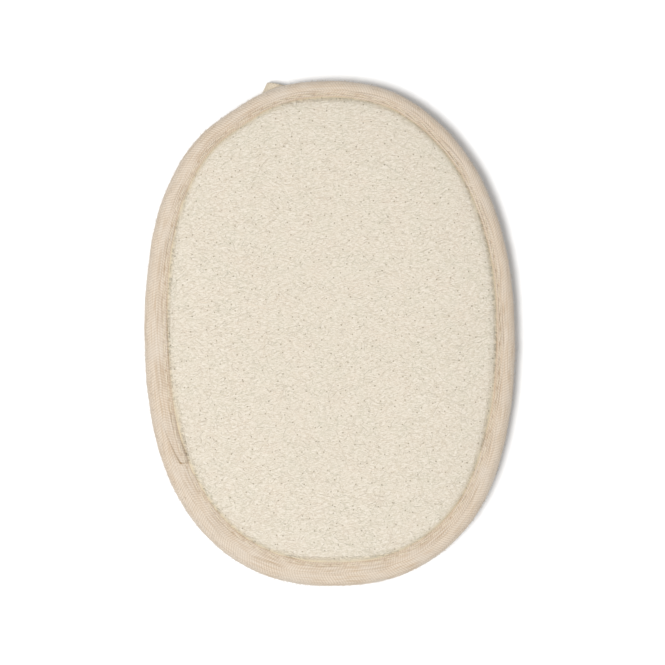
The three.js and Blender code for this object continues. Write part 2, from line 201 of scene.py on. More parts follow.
class Rim:
    """The pad's edge seen from above, taken by its share of the way round from +X, anticlockwise."""

    samples = 7200

    def __init__(self, shape: PadShape) -> None:
        """Measures the way round the rim.

        Args:
            shape: The pad's shared sizes.
        """
        self.shape = shape
        self.angles = np.linspace(0.0, TAU, self.samples + 1)
        self.way = way(np.stack(self.point(self.angles), axis=-1))
        self.length = float(self.way[-1])

    def point(self, angle: Array) -> tuple[Array, Array]:
        """Finds points on the rim: a superellipse whose radius has three slow waves and a few presses.

        Args:
            angle: The points' polar angles.

        Returns:
            Their x and y.
        """
        s = self.shape
        across = np.abs(np.cos(angle) / s.half_width) ** s.squareness
        along = np.abs(np.sin(angle) / s.half_length) ** s.squareness
        wave = sum(share * np.cos(count * angle - turn) for count, share, turn in s.waves)
        radius = (across + along) ** (-1.0 / s.squareness) * (1.0 + wave)
        for at, push, half in s.presses:
            radius = radius + push * bell((np.degrees(angle) - at + 180.0) % 360.0 - 180.0, half)
        return radius * np.cos(angle), radius * np.sin(angle)

    def share_at(self, angle: float) -> float:
        """The share of the way round at a polar angle."""
        return float(np.interp(angle % TAU, self.angles, self.way)) / self.length

    def flap(self, angle: Array, side: Side) -> Array:
        """Width of a flap of the tape beside a polar angle: what the front has more, the back has less."""
        slip = self.shape.flap_slip * np.cos(angle - self.shape.slip_side)
        return self.shape.flap_mean + side.value * slip

    def at(self, share: Array) -> Places:
        """Finds the places at some shares of the way round.

        Args:
            share: The shares.

        Returns:
            The places, in arrays of the same shape.
        """
        angle = np.interp((share % 1.0) * self.length, self.way, self.angles)
        step = TAU / self.samples
        x, y = self.point(angle)
        ahead, behind = self.point(angle + step), self.point(angle - step)
        run_x, run_y = ahead[0] - behind[0], ahead[1] - behind[1]
        size = np.hypot(run_x, run_y)
        flap = {side: self.flap(np.arctan2(y, x), side) for side in Side}
        return Places(share, x, y, run_y / size, -run_x / size, flap)


class Pad:
    """The rim with a raster beside it that tells how far inside the rim any point lies."""

    raster_step = 0.5
    raster_reach = (60.0, 80.0)
    chunk = 4000
    rim_samples = 1440

    def __init__(self, shape: PadShape) -> None:
        """Fills the raster with each point's least distance to the rim.

        Args:
            shape: The pad's shared sizes.
        """
        self.shape = shape
        self.rim = Rim(shape)
        edge = self.rim.at(np.arange(self.rim_samples) / self.rim_samples)
        xs, ys = (np.arange(-r, r + self.raster_step, self.raster_step) for r in self.raster_reach)
        gx, gy = (g.ravel() for g in np.meshgrid(xs, ys))
        near = np.empty(gx.size)
        for start in range(0, gx.size, self.chunk):
            part = slice(start, start + self.chunk)
            square = (gx[part, None] - edge.x) ** 2 + (gy[part, None] - edge.y) ** 2
            near[part] = np.sqrt(square.min(axis=1))
        near[np.hypot(gx, gy) > np.hypot(*self.rim.point(np.arctan2(gy, gx)))] *= -1.0
        self.near = near.reshape(ys.size, xs.size)

    def inset(self, x: Array, y: Array) -> Array:
        """Reads from the raster how far inside the rim points lie, by bilinear steps.

        Args:
            x: The points' x.
            y: Their y.

        Returns:
            Distances inside the rim.
        """
        at = [(v + reach) / self.raster_step for v, reach in zip((x, y), self.raster_reach)]
        fx, fy = (np.clip(f, 0, last - 1.001) for f, last in zip(at, self.near.shape[::-1]))
        ix, iy = fx.astype(int), fy.astype(int)
        tx, ty = fx - ix, fy - iy
        low, high = (self.near[row, ix] * (1 - tx) + self.near[row, ix + 1] * tx for row in (iy, iy + 1))
        return low * (1 - ty) + high * ty

    def flap(self, x: Array, y: Array, side: Side) -> Array:
        """Width of the tape's flap beside points."""
        return self.rim.flap(np.arctan2(y, x), side)

    def beyond(self, x: Array, y: Array, side: Side) -> Array:
        """How far points lie inside the inner edge of the tape's flap."""
        return self.inset(x, y) - self.flap(x, y, side)

    def nose_depth(self, flap: Array) -> Array:
        """How far inside the rim the tape's fold has become flat."""
        return np.minimum(self.shape.nose_depth, flap - self.shape.nose_before_edge)

    def profile(self, flap: Array, distance: Array, side: Side, start: float, depth: Array,
                half: float) -> Array:
        """Shapes a fold: a quarter of an ellipse, then a slight rise to the flap's inner edge.

        Args:
            flap: The flap's width.
            distance: Distances inside the rim.
            side: The face of the pad.
            start: Where the quarter ellipse starts inside the rim.
            depth: Where it ends.
            half: Its height.

        Returns:
            Heights from the middle plane.
        """
        round_part = np.sqrt(1.0 - np.clip((depth - distance) / (depth - start), 0.0, 1.0) ** 2)
        flat_part = np.clip((distance - depth) / (flap - depth), 0.0, 1.0)
        return half * round_part + self.shape.rise[side] * flat_part

    def tape_height(self, flap: Array, distance: Array, side: Side) -> Array:
        """Height of a flap's outer face from the middle plane."""
        return self.profile(flap, distance, side, 0.0, self.nose_depth(flap), self.shape.nose_half)

    def layer_height(self, flap: Array, distance: Array, side: Side) -> Array:
        """Height of a layer's face inside the fold: the tape's own form, less its thickness and a gap."""
        s, depth = self.shape, self.nose_depth(flap) + self.shape.layer_in
        return self.profile(flap, distance, side, s.layer_start, depth, s.nose_half - s.tape - s.clear)

    def crown(self, beyond: Array) -> Array:
        """0 at the tape's inner edge, rising as a power curve to 1 where the crown is flat."""
        return 1.0 - (1.0 - np.clip(beyond / self.shape.crown_run, 0.0, 1.0)) ** self.shape.crown_power

    def spring(self, beyond: Array, run: float) -> Array:
        """0 at the tape's inner edge, rising quickly to 1 as a layer swells out from under it."""
        return 1.0 - np.exp(-np.maximum(beyond - self.shape.clear / 2, 0.0) / run)

    def oval_grid(self, columns: int, rows: int, edge: float) -> tuple[Array, Array]:
        """Lays a grid of points over the pad, with no pole, whose border lies a distance inside the rim.

        A square grid is rounded to a disc by x = u sqrt(1 - v^2 / 2), y = v sqrt(1 - u^2 / 2). The disc's
        radius is then carried out to the rim: straight to the deep inset line, then along the inset.

        Args:
            columns: Points across.
            rows: Points along.
            edge: Distance of the border inside the rim.

        Returns:
            The points' x and y.
        """
        u, v = np.meshgrid(np.linspace(-1, 1, columns), np.linspace(-1, 1, rows))
        dx, dy = u * np.sqrt(1 - v * v / 2), v * np.sqrt(1 - u * u / 2)
        radius = np.hypot(dx, dy)
        angle = np.arctan2(dy * self.shape.half_length, dx * self.shape.half_width) % TAU
        at = self.rim.at(np.interp(angle, self.rim.angles, self.rim.way) / self.rim.length)
        out_x, out_y = at.inward(edge)
        in_x, in_y = at.inward(self.shape.deep_inset)
        knee = np.hypot(in_x, in_y) / np.hypot(out_x, out_y)
        t = np.clip((radius - knee) / (1 - knee), 0.0, 1.0)
        shrink = np.minimum(radius / knee, 1.0)
        return (in_x * (1 - t) + out_x * t) * shrink, (in_y * (1 - t) + out_y * t) * shrink


class MeshMaker:
    """Puts arrays of points and faces into Blender objects."""

    @staticmethod
    def make(name: str, points: Array, faces: list[Array], uv: list[Array] | None = None,
             tone: Array | None = None) -> bpy.types.Object:
        """Makes one object from arrays.

        Args:
            name: The piece's name.
            points: Points in millimetres, of shape (n, 3).
            faces: Blocks of faces, each of shape (m, corners).
            uv: The corners' places on the cloth for each block, of shape (m, corners, 2), in centimetres.
            tone: A number for each point, stored for the material; it carries strands' own tones and painted
                shade.

        Returns:
            The object, linked to the scene, with its place in its mesh.
        """
        mesh = bpy.data.meshes.new(name)
        mesh.vertices.add(len(points))
        mesh.vertices.foreach_set("co", (points * MM).astype(np.float32).ravel())
        corners = np.concatenate([block.ravel() for block in faces])
        counts = np.concatenate([np.full(len(block), block.shape[1]) for block in faces])
        mesh.loops.add(len(corners))
        mesh.loops.foreach_set("vertex_index", corners.astype(np.int32))
        mesh.polygons.add(len(counts))
        starts = np.concatenate([[0], np.cumsum(counts)[:-1]])
        mesh.polygons.foreach_set("loop_start", starts.astype(np.int32))
        mesh.polygons.foreach_set("loop_total", counts.astype(np.int32))
        mesh.polygons.foreach_set("use_smooth", np.ones(len(counts), bool))
        if uv is not None:
            flat = np.concatenate([block.reshape(-1, 2) for block in uv])
            mesh.uv_layers.new(name="cloth").data.foreach_set("uv", flat.astype(np.float32).ravel())
        if tone is not None:
            mesh.attributes.new(TONE_AND_SHADE, "FLOAT", "POINT").data.foreach_set("value", tone.astype(np.float32))
        mesh.update()
        mesh.validate()
        piece = bpy.data.objects.new(name, mesh)
        bpy.context.scene.collection.objects.link(piece)
        return piece

    @staticmethod
    def quads(rows: int, columns: int, close_rows: bool = False, close_columns: bool = False) -> Array:
        """Joins a grid of points, counted row by row, with faces.

        Args:
            rows: Rows of points.
            columns: Points in a row.
            close_rows: Whether the last row joins the first.
            close_columns: Whether each row is a ring.

        Returns:
            The faces, of shape (n, 4).
        """
        r = np.arange(rows if close_rows else rows - 1)[:, None]
        c = np.arange(columns if close_columns else columns - 1)[None, :]
        r2, c2 = (r + 1) % rows, (c + 1) % columns
        corners = (r * columns + c, r * columns + c2, r2 * columns + c2, r2 * columns + c)
        return np.stack(np.broadcast_arrays(*corners), axis=-1).reshape(-1, 4)

    @staticmethod
    def cloth(start: Array, end: Array, across: Array) -> Array:
        """Lays the faces of such a grid out on the cloth.

        Args:
            start: How far along the cloth each row of faces starts, as a column.
            end: How far along it ends.
            across: How far across the cloth each column of faces starts, and the last one ends.

        Returns:
            The corners' places, of shape (n, 4, 2).
        """
        corners = ((start, across[:-1]), (start, across[1:]), (end, across[1:]), (end, across[:-1]))
        uv = [np.stack(np.broadcast_arrays(u, v), axis=-1) for u, v in corners]
        return np.stack(uv, axis=2).reshape(-1, 4, 2)

    @staticmethod
    def lens(x: Array, y: Array, upper: Array, lower: Array) -> tuple[Array, list[Array]]:
        """Closes two faces over one grid into a body, with a wall round their borders.

        Args:
            x: The grid's x, of shape (rows, columns).
            y: Its y.
            upper: Heights of the upper face.
            lower: Heights of the lower face.

        Returns:
            Points and blocks of faces.
        """
        grid = MeshMaker.quads(*x.shape)
        index = np.arange(x.size).reshape(x.shape)
        loop = np.concatenate([index[0, :-1], index[:-1, -1], index[-1, :0:-1], index[:0:-1, 0]])
        ahead = np.roll(loop, -1)
        wall = np.stack([loop, loop + x.size, ahead + x.size, ahead], axis=-1)
        points = np.concatenate([xyz(x, y, z).reshape(-1, 3) for z in (upper, lower)])
        return points, [grid, grid[:, ::-1] + x.size, wall]


@dataclass(frozen=True)
class Band:
    """A flat tape carried along a path, as one closed body.

    Attributes:
        width: Across the tape, in millimetres.
        thick: Through it.
        across: Points over the width.
        puff: How much thinner the selvedges are than the middle.
    """

    width: float
    thick: float
    across: int
    puff: float = 0.35

    def build(self, middle: Array, up: Array, side: Array,
              ease: Array | float = 0.0) -> tuple[Array, list[Array], list[Array]]:
        """Sweeps the section.

        Each row is the tape's upper face from one selvedge to the other and its lower face back again, at
        middle + side * width * t, plus or minus up * thick / 2, with the selvedges a little thinner.

        Args:
            middle: The path, of shape (n, 3).
            up: The tape's upward normal along it.
            side: The direction across the tape.
            ease: A small height to add to both faces, of shape (n, across), for waves in the cloth.

        Returns:
            Points, blocks of faces, and the corners' places on the cloth in centimetres.
        """
        rows, m = len(middle), self.across
        t = np.linspace(-0.5, 0.5, m)
        half = self.thick / 2 * (1 - self.puff * np.abs(2 * t) ** 6)
        base = middle[:, None] + side * (t * self.width)[:, None] + up[:, None] * np.asarray(ease)[..., None]
        rim = up[:, None] * half[:, None]
        points = np.concatenate([base + rim, (base - rim)[:, ::-1]], axis=1)
        run = way(middle)[:, None] / 10
        around = np.concatenate([t, t[::-1], t[:1]]) * self.width / 10
        first = np.arange(m - 1)
        cap = np.stack([first, 2 * m - 1 - first, 2 * m - 2 - first, first + 1], axis=-1)
        last = cap[:, ::-1] + (rows - 1) * 2 * m
        cap_uv = np.zeros((m - 1, 4, 2))
        faces = [MeshMaker.quads(rows, 2 * m, close_columns=True), cap, last]
        return points.reshape(-1, 3), faces, [MeshMaker.cloth(run[:-1], run[1:], around), cap_uv, cap_uv]


class Tubes:
    """Thin tubes, each a small ring carried along a path."""

    @staticmethod
    def rings(paths: Array, along: Array, radius: Array, sides: int, flatness: float = 1.0,
              start: float = 0.25) -> Array:
        """Places the rings, at path + radius (cos a * side + flatness sin a * normal), where side lies level.

        Args:
            paths: Points, of shape (..., 3).
            along: The paths' directions, of length 1.
            radius: Radii, of shape (...).
            sides: Corners of a ring.
            flatness: Height of a ring over its width.
            start: The first corner's share of the way round the ring, where 0.25 is on top.

        Returns:
            The corners, ring by ring.
        """
        side = unit(xyz(-along[..., 1], along[..., 0], 0.0))
        normal = flatness * np.cross(along, side)
        turn = (np.arange(sides) / sides + start) * TAU
        ring = np.cos(turn)[:, None] * side[..., None, :] + np.sin(turn)[:, None] * normal[..., None, :]
        return (paths[..., None, :] + radius[..., None, None] * ring).reshape(-1, 3)

    @staticmethod
    def build(paths: Array, radius: Array, sides: int, flatness: float = 1.0) -> tuple[Array, list[Array]]:
        """Makes many tubes at once, closed at both ends.

        Args:
            paths: Points of shape (count, steps, 3).
            radius: Radii of shape (count, steps).
            sides: Corners of a ring.
            flatness: Height of a ring over its width.

        Returns:
            Points and blocks of faces.
        """
        count, steps = radius.shape
        points = Tubes.rings(paths, unit(np.gradient(paths, axis=1)), radius, sides, flatness)
        offset = (np.arange(count) * steps * sides)[:, None]
        walls = (MeshMaker.quads(steps, sides, close_columns=True) + offset[..., None]).reshape(-1, 4)
        end = np.arange(sides) + offset
        return points, [walls, end[:, ::-1], end + (steps - 1) * sides]


def linear(code: str) -> Colour:
    """Turns an sRGB colour into linear light.

    Args:
        code: The colour, such as "e5dcca".

    Returns:
        Its linear parts with full alpha.
    """
    parts = [int(code[i:i + 2], 16) / 255 for i in (0, 2, 4)]
    light = [c / 12.92 if c <= 0.04045 else ((c + 0.055) / 1.055) ** 2.4 for c in parts]
    return (*light, 1.0)


class Web:
    """A material's node tree, with one way to add a node."""

    def __init__(self, name: str) -> None:
        """Starts a material with an empty tree and an output.

        Args:
            name: The material's name.
        """
        self.material = bpy.data.materials.new(name)
        self.material.use_nodes = True
        self.tree = self.material.node_tree
        self.tree.nodes.clear()
        self.output = self.tree.nodes.new("ShaderNodeOutputMaterial")

    def add(self, kind: str, inputs: dict | None = None, **settings: object) -> bpy.types.Node:
        """Adds a node.

        Args:
            kind: Its type, without the ShaderNode that all of them start with.
            inputs: Values or other nodes' sockets, by the input's name or number.
            settings: The node's own properties.

        Returns:
            The node.
        """
        node = self.tree.nodes.new("ShaderNode" + kind)
        for name, value in settings.items():
            setattr(node, name, value)
        for key, value in (inputs or {}).items():
            if isinstance(value, Socket):
                self.tree.links.new(value, node.inputs[key])
            else:
                node.inputs[key].default_value = value
        return node

    def finish(self, shader: bpy.types.Node) -> bpy.types.Material:
        """Joins the shader to the output and gives the material."""
        self.tree.links.new(shader.outputs[0], self.output.inputs["Surface"])
        return self.material


@dataclass(frozen=True)
class Tint:
    """A colour that is laid over another as far as some value lies in a range.

    Attributes:
        code: The colour.
        low: Start of the range.
        high: End of the range.
        at_low: Share of the colour at the start.
        at_high: Share at the end.
        easing: How the share runs between them.
    """

    code: str
    low: float = 0.0
    high: float = 1.0
    at_low: float = 0.0
    at_high: float = 1.0
    easing: str = "LINEAR"

    def over(self, web: Web, value: Socket, colour: Socket | Colour) -> Socket:
        """Lays the colour over another.

        Args:
            web: The material's nodes.
            value: What the range is read from.
            colour: The colour below.

        Returns:
            The socket with the mixed colour.
        """
        share = web.add("MapRange", interpolation_type=self.easing, inputs={
            "Value": value, 1: self.low, 2: self.high, 3: self.at_low, 4: self.at_high})
        mixed = web.add("Mix", data_type="RGBA", inputs={
            "Factor": share.outputs[0], 6: colour, 7: linear(self.code)})
        return mixed.outputs[2]


@dataclass(frozen=True)
class Surface:
    """How a finish takes the light.

    Attributes:
        roughness: Roughness of the fibre.
        specular: Level of its plain reflection.
        sheen: Weight of the glow that loose fibre ends give at a slant.
        sheen_rough: Roughness of that glow.
        bump: Strength of the raised pattern.
        bump_mm: Its height.
    """

    roughness: float
    specular: float
    sheen: float
    sheen_rough: float
    bump: float
    bump_mm: float

    def close(self, web: Web, colour: Socket, height: Socket) -> bpy.types.Material:
        """Ends a material.

        Args:
            web: The material's nodes.
            colour: Its colour.
            height: Its raised pattern.

        Returns:
            The material.
        """
        bump = web.add("Bump", {"Height": height, "Strength": self.bump, "Distance": self.bump_mm * MM})
        return web.finish(web.add("BsdfPrincipled", {
            "Base Color": colour, "Normal": bump.outputs["Normal"],
            "Roughness": self.roughness, "Specular IOR Level": self.specular,
            "Sheen Weight": self.sheen, "Sheen Roughness": self.sheen_rough}))


@dataclass(frozen=True)
class PinHoleShade:
    """Small holes among loofah fibres, where they cross round an empty space, painted as dark dots for the
    shade in them; the mesh has no holes there.

    Attributes:
        apart_mm: How far apart the holes are.
        radius_mm: Radius of a hole.
        dark: How deep the painted shade in a hole is, from 0 to 1.
        code: Colour of that painted shade.
    """

    apart_mm: float
    radius_mm: float
    dark: float
    code: str = "7d7059"

    def over(self, web: Web, place: Socket, colour: Socket) -> Socket:
        """Paints the holes' shade over a colour, seen from above, as soft dots round scattered points.

        Args:
            web: The material's nodes.
            place: Object coordinates.
            colour: The colour to drop them over.

        Returns:
            The socket with the colour after it.
        """
        dots = web.add("TexVoronoi", {"Vector": place, "Scale": 1 / (self.apart_mm * MM)},
                       voronoi_dimensions="2D")
        size = self.radius_mm / self.apart_mm
        hole = Tint(self.code, 0.4 * size, 1.3 * size, self.dark, 0.0)
        return hole.over(web, dots.outputs["Distance"], colour)


@dataclass(frozen=True)
class LoofahMat:
    """The mat under the top fibres: dried loofah fibre matted together, with painted shade in its gaps, its
    pin holes and beside the tape.
    """

    name: str = "matted_loofah_fibre"
    pale: str = "d6cec1"
    # Painted shade: the gap colour in the fibre noise's low places, and the crease colour beside the tape's
    # inner edge, where the points' tone is high.
    gap_shade: Tint = Tint("b0a58f", 0.46, 0.62, 0.62, 0.0)
    crease_shade: Tint = Tint("cdc0a6")
    fibre_mm: float = 0.18
    slants: tuple[float, float] = (-0.5, 0.35)
    drawn: tuple[float, float, float] = (0.16, 1.0, 1.0)
    # Painted shade of pin holes, at two sizes.
    holes: tuple[PinHoleShade, ...] = (PinHoleShade(4.3, 0.23, 0.7), PinHoleShade(1.15, 0.11, 0.3))
    surface: Surface = Surface(0.85, 0.2, 0.0, 0.5, 0.7, 0.08)

    def ground(self, web: Web, place: Socket, tone: Socket) -> Socket | Colour:
        """The fibre's own colour, one all over."""
        return linear(self.pale)

    def make(self) -> bpy.types.Material:
        """Lays painted shade over the fibre's own colour: in the gaps, in the creases beside the tape and in
        pin holes.

        The gaps are the low places of two crossing noises, each drawn out along its own slant, of which the
        higher one shows, as in fine matted fibres. The same noise raises the bump, and its low places are
        painted darker as their shade.

        Returns:
            The material.
        """
        web = Web(self.name)
        place = web.add("TexCoord").outputs["Object"]
        tone = web.add("Attribute", attribute_name=TONE_AND_SHADE).outputs["Fac"]
        lays = []
        for slant in self.slants:
            lying = web.add("Mapping", {"Vector": place, "Rotation": (0.0, 0.0, slant), "Scale": self.drawn})
            noise = web.add("TexNoise", {
                "Vector": lying.outputs["Vector"], "Scale": 1 / (self.fibre_mm * MM), "Detail": 2.0,
                "Distortion": 0.3})
            lays.append(noise.outputs["Fac"])
        fibre = web.add("Math", dict(enumerate(lays)), operation="MAXIMUM").outputs[0]
        colour = self.gap_shade.over(web, fibre, self.ground(web, place, tone))
        colour = self.crease_shade.over(web, tone, colour)
        for holes in self.holes:
            colour = holes.over(web, place, colour)
        return self.surface.close(web, colour, fibre)


@dataclass(frozen=True)
class LoofahFibre(LoofahMat):
    """Dried loofah fibre, split and pressed flat: pale strands, each its own tone, with a faint silkiness and
    painted shade beside the tape.
    """

    name: str = "dried_loofah_fibre"
    pale: str = "d3cbbd"
    # Painted shade here too: the gap colour in the fibre noise's low places, and the crease colour on strands
    # whose tone passes 1, over the tape's inner edge.
    gap_shade: Tint = Tint("b0a58f", 0.42, 0.64, 0.3, 0.0)
    crease_shade: Tint = Tint("d0c2a8", 1.0, 2.0)
    fibre_mm: float = 0.26
    surface: Surface = Surface(0.78, 0.25, 0.15, 0.5, 0.3, 0.05)
    straw: Tint = Tint("cac0ad")
    cool: str = "cccab8"
    warm: Tint = Tint("dbcbbb", 0.36, 0.66)
    blotch_mm: float = 6.0
    blotch: float = 0.5

    def ground(self, web: Web, place: Socket, tone: Socket) -> Socket | Colour:
        """Mixes each strand's own tone with slow warm and cool patches.

        Args:
            web: The material's nodes.
            place: Object coordinates.
            tone: The strand's own tone, raised beside the tape as painted shade.

        Returns:
            The socket with the colour.
        """
        patch = web.add("TexNoise", {"Vector": place, "Scale": 1 / (self.blotch_mm * MM), "Detail": 2.0})
        strand = self.straw.over(web, tone, linear(self.pale))
        patches = self.warm.over(web, patch.outputs["Fac"], linear(self.cool))
        return web.add("Mix", {"Factor": self.blotch, 6: strand, 7: patches}, data_type="RGBA").outputs[2]


def threads(web: Web, along: Socket, pitch: float) -> Socket:
    """Raises threads across a way along the cloth, as a sine with one wave to the pitch."""
    phase = web.add("Math", {0: along, 1: TAU / pitch}, operation="MULTIPLY")
    return web.add("Math", {0: phase.outputs[0]}, operation="SINE").outputs[0]


@dataclass(frozen=True)
class HerringboneCotton:
    """Unbleached cotton tape woven in herringbone rows: short slanting strokes that turn at each row."""

    name: str = "herringbone_cotton_tape"
    thread: str = "cfc1b0"
    # Painted shade: the gap tint in the weave's low places, the seam tint in a band where the loofah's edge
    # stands over the tape's inner edge, the drawn tint in fine dark lines along the tape for small creases,
    # and the crease tint wherever the tape's points carry shade.
    gap_shade: Tint = Tint("93826c", 0.1, 0.6, 0.42, 0.0)
    seam: Tint = Tint("b29b80", 0.02, 0.36, 0.12, 0.0, "SMOOTHSTEP")
    drawn: Tint = Tint("b29b80", 0.45, 0.66, 0.0, 0.6)
    faded: Tint = Tint("c9c2b8", 0.4, 0.7, 0.0, 0.3)
    crease_shade: Tint = Tint("8c7352")
    pitch_cm: float = 0.085
    row_cm: float = 0.31
    slope: float = 0.6
    wander_mm: float = 1.6
    wander_cm: float = 0.035
    ply: float = 0.35
    ply_pitch: float = 0.62
    reach: float = 1.3
    streaks: tuple[float, float, float] = (1.6, 25.0, 1.0)
    patch_mm: float = 9.0
    surface: Surface = Surface(0.88, 0.2, 0.2, 0.4, 0.6, 0.12)

    def make(self) -> bpy.types.Material:
        """Weaves strokes from the cloth's own map, as a sine along u + v with v folded back at each row.

        Painted shade then goes over the weave: darker in its low places, a band by the seam where the
        loofah's edge stands over the tape, dark lines along the tape for fine creases, and the shade that the
        tape's points carry in creases, needle holes and the joint. Faded grey patches go over it too.

        Returns:
            The material.
        """
        web = Web(self.name)
        uv = web.add("UVMap", uv_map="cloth").outputs["UV"]
        u, v = web.add("SeparateXYZ", {0: uv}).outputs[:2]
        place = web.add("TexCoord").outputs["Object"]
        wander = web.add("TexNoise", {"Vector": place, "Scale": 1 / (self.wander_mm * MM), "Detail": 2.0})
        folded = web.add("Math", {0: v, 1: self.row_cm}, operation="PINGPONG")
        slant = web.add("Math", {0: folded.outputs[0], 1: self.slope, 2: u}, operation="MULTIPLY_ADD")
        moved = web.add("Math", {0: wander.outputs["Fac"], 1: self.wander_cm, 2: slant.outputs[0]},
                        operation="MULTIPLY_ADD")
        strokes = threads(web, moved.outputs[0], self.pitch_cm)
        plies = threads(web, v, self.ply_pitch * self.pitch_cm)
        woven = web.add("Math", {0: plies, 1: self.ply, 2: strokes}, operation="MULTIPLY_ADD")
        height = web.add("MapRange", {"Value": woven.outputs[0], 1: -self.reach, 2: self.reach}).outputs[0]
        long_way = web.add("Mapping", {"Vector": uv, "Scale": self.streaks})
        streak = web.add("TexNoise", {"Vector": long_way.outputs["Vector"], "Scale": 1.0, "Detail": 2.0})
        patch = web.add("TexNoise", {"Vector": place, "Scale": 1 / (self.patch_mm * MM), "Detail": 2.0})
        tone = web.add("Attribute", attribute_name=TONE_AND_SHADE).outputs["Fac"]
        colour = linear(self.thread)
        # Every tint but the faded one is painted shade.
        for tint, value in ((self.gap_shade, height), (self.seam, v), (self.drawn, streak.outputs["Fac"]),
                            (self.faded, patch.outputs["Fac"]), (self.crease_shade, tone)):
            colour = tint.over(web, value, colour)
        return self.surface.close(web, colour, height)


@dataclass(frozen=True)
class PlainCotton:
    """Plain woven unbleached cotton: square crossings of warp and weft, matt, slightly uneven in tone.

    Attributes:
        name: The material's name.
        thread: Colour of the threads.
        gap_shade: Painted shade between the threads, also laid where the slub noise is low.
        pitch_cm: Two threads side by side, one over and one under.
        slub_mm: Size of the uneven places.
        surface: How it takes the light.
    """

    name: str
    thread: str
    gap_shade: str
    pitch_cm: float
    slub_mm: float = 2.5
    surface: Surface = Surface(0.9, 0.2, 0.2, 0.4, 0.7, 0.12)

    def make(self) -> bpy.types.Material:
        """Weaves crossings from the cloth's own map, as the product of a sine along u and one along v, and
        paints shade in their low places.

        Returns:
            The material.
        """
        web = Web(self.name)
        uv = web.add("UVMap", uv_map="cloth").outputs["UV"]
        waves = [threads(web, axis, self.pitch_cm) for axis in web.add("SeparateXYZ", {0: uv}).outputs[:2]]
        crossing = web.add("Math", dict(enumerate(waves)), operation="MULTIPLY")
        height = web.add("MapRange", {"Value": crossing.outputs[0], 1: -1.0, 2: 1.0}).outputs[0]
        place = web.add("TexCoord").outputs["Object"]
        slub = web.add("TexNoise", {"Vector": place, "Scale": 1 / (self.slub_mm * MM), "Detail": 3.0})
        mask = web.add("Math", {0: height, 1: slub.outputs["Fac"]}, operation="MULTIPLY")
        # Painted shade between the threads.
        colour = Tint(self.thread).over(web, mask.outputs[0], linear(self.gap_shade))
        return self.surface.close(web, colour, height)


@dataclass(frozen=True)
class SoftCotton:
    """Loose cotton with no weave to see, as spun thread, looped pile or wadding: matt, with a fine fuzz.

    Attributes:
        name: The material's name.
        light: Colour of the fibres on top.
        shade: Colour between them.
        grain_mm: Size of the fuzz, drawn coarser than single fibres, which are too fine to show.
        surface: How it takes the light.
    """

    name: str
    light: str
    shade: str
    grain_mm: float
    surface: Surface = Surface(0.92, 0.2, 0.3, 0.4, 0.5, 0.08)

    def make(self) -> bpy.types.Material:
        """Breaks the colour with a fine fuzz noise that also lifts the surface.

        Returns:
            The material.
        """
        web = Web(self.name)
        place = web.add("TexCoord").outputs["Object"]
        noise = web.add("TexNoise", {"Vector": place, "Scale": 1 / (self.grain_mm * MM), "Detail": 3.0})
        fuzz = noise.outputs["Fac"]
        return self.surface.close(web, Tint(self.light, 0.35, 0.65).over(web, fuzz, linear(self.shade)), fuzz)


def dress(piece: bpy.types.Object, material: bpy.types.Material, slot: Slot, *nodes: str) -> bpy.types.Object:
    """Gives a piece its material, sets it on the pad's body and hides the solids that it stands for.

    Args:
        piece: The finished object.
        material: Its material.
        slot: The record's slot that it takes its finish from; not used.
        nodes: The solids that it replaces.

    Returns:
        The piece.
    """
    piece.data.materials.append(material)
    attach(piece, BODY)
    if nodes:
        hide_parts(*nodes)
    LOG.info("%s: %d triangles", piece.name, len(piece.data.loops) - 2 * len(piece.data.polygons))
    return piece


@dataclass(frozen=True)
class StrandLayer:
    """One lot of loofah strands.

    Attributes:
        name: The piece's name.
        count: Strands tried.
        length: Least and most length, in millimetres.
        radius: Least and most radius.
        spread: Spread of the strands' directions about X, in degrees, at the pad's top and at its bottom.
        cross: Share of the strands that lie in any direction.
        lift: Height of a strand's middle over the mat.
        steps: Points along a strand.
        seed: Seed of the random draw.
    """

    name: str
    count: int
    length: tuple[float, float]
    radius: tuple[float, float]
    spread: tuple[float, float]
    cross: float
    lift: float
    steps: int
    seed: int


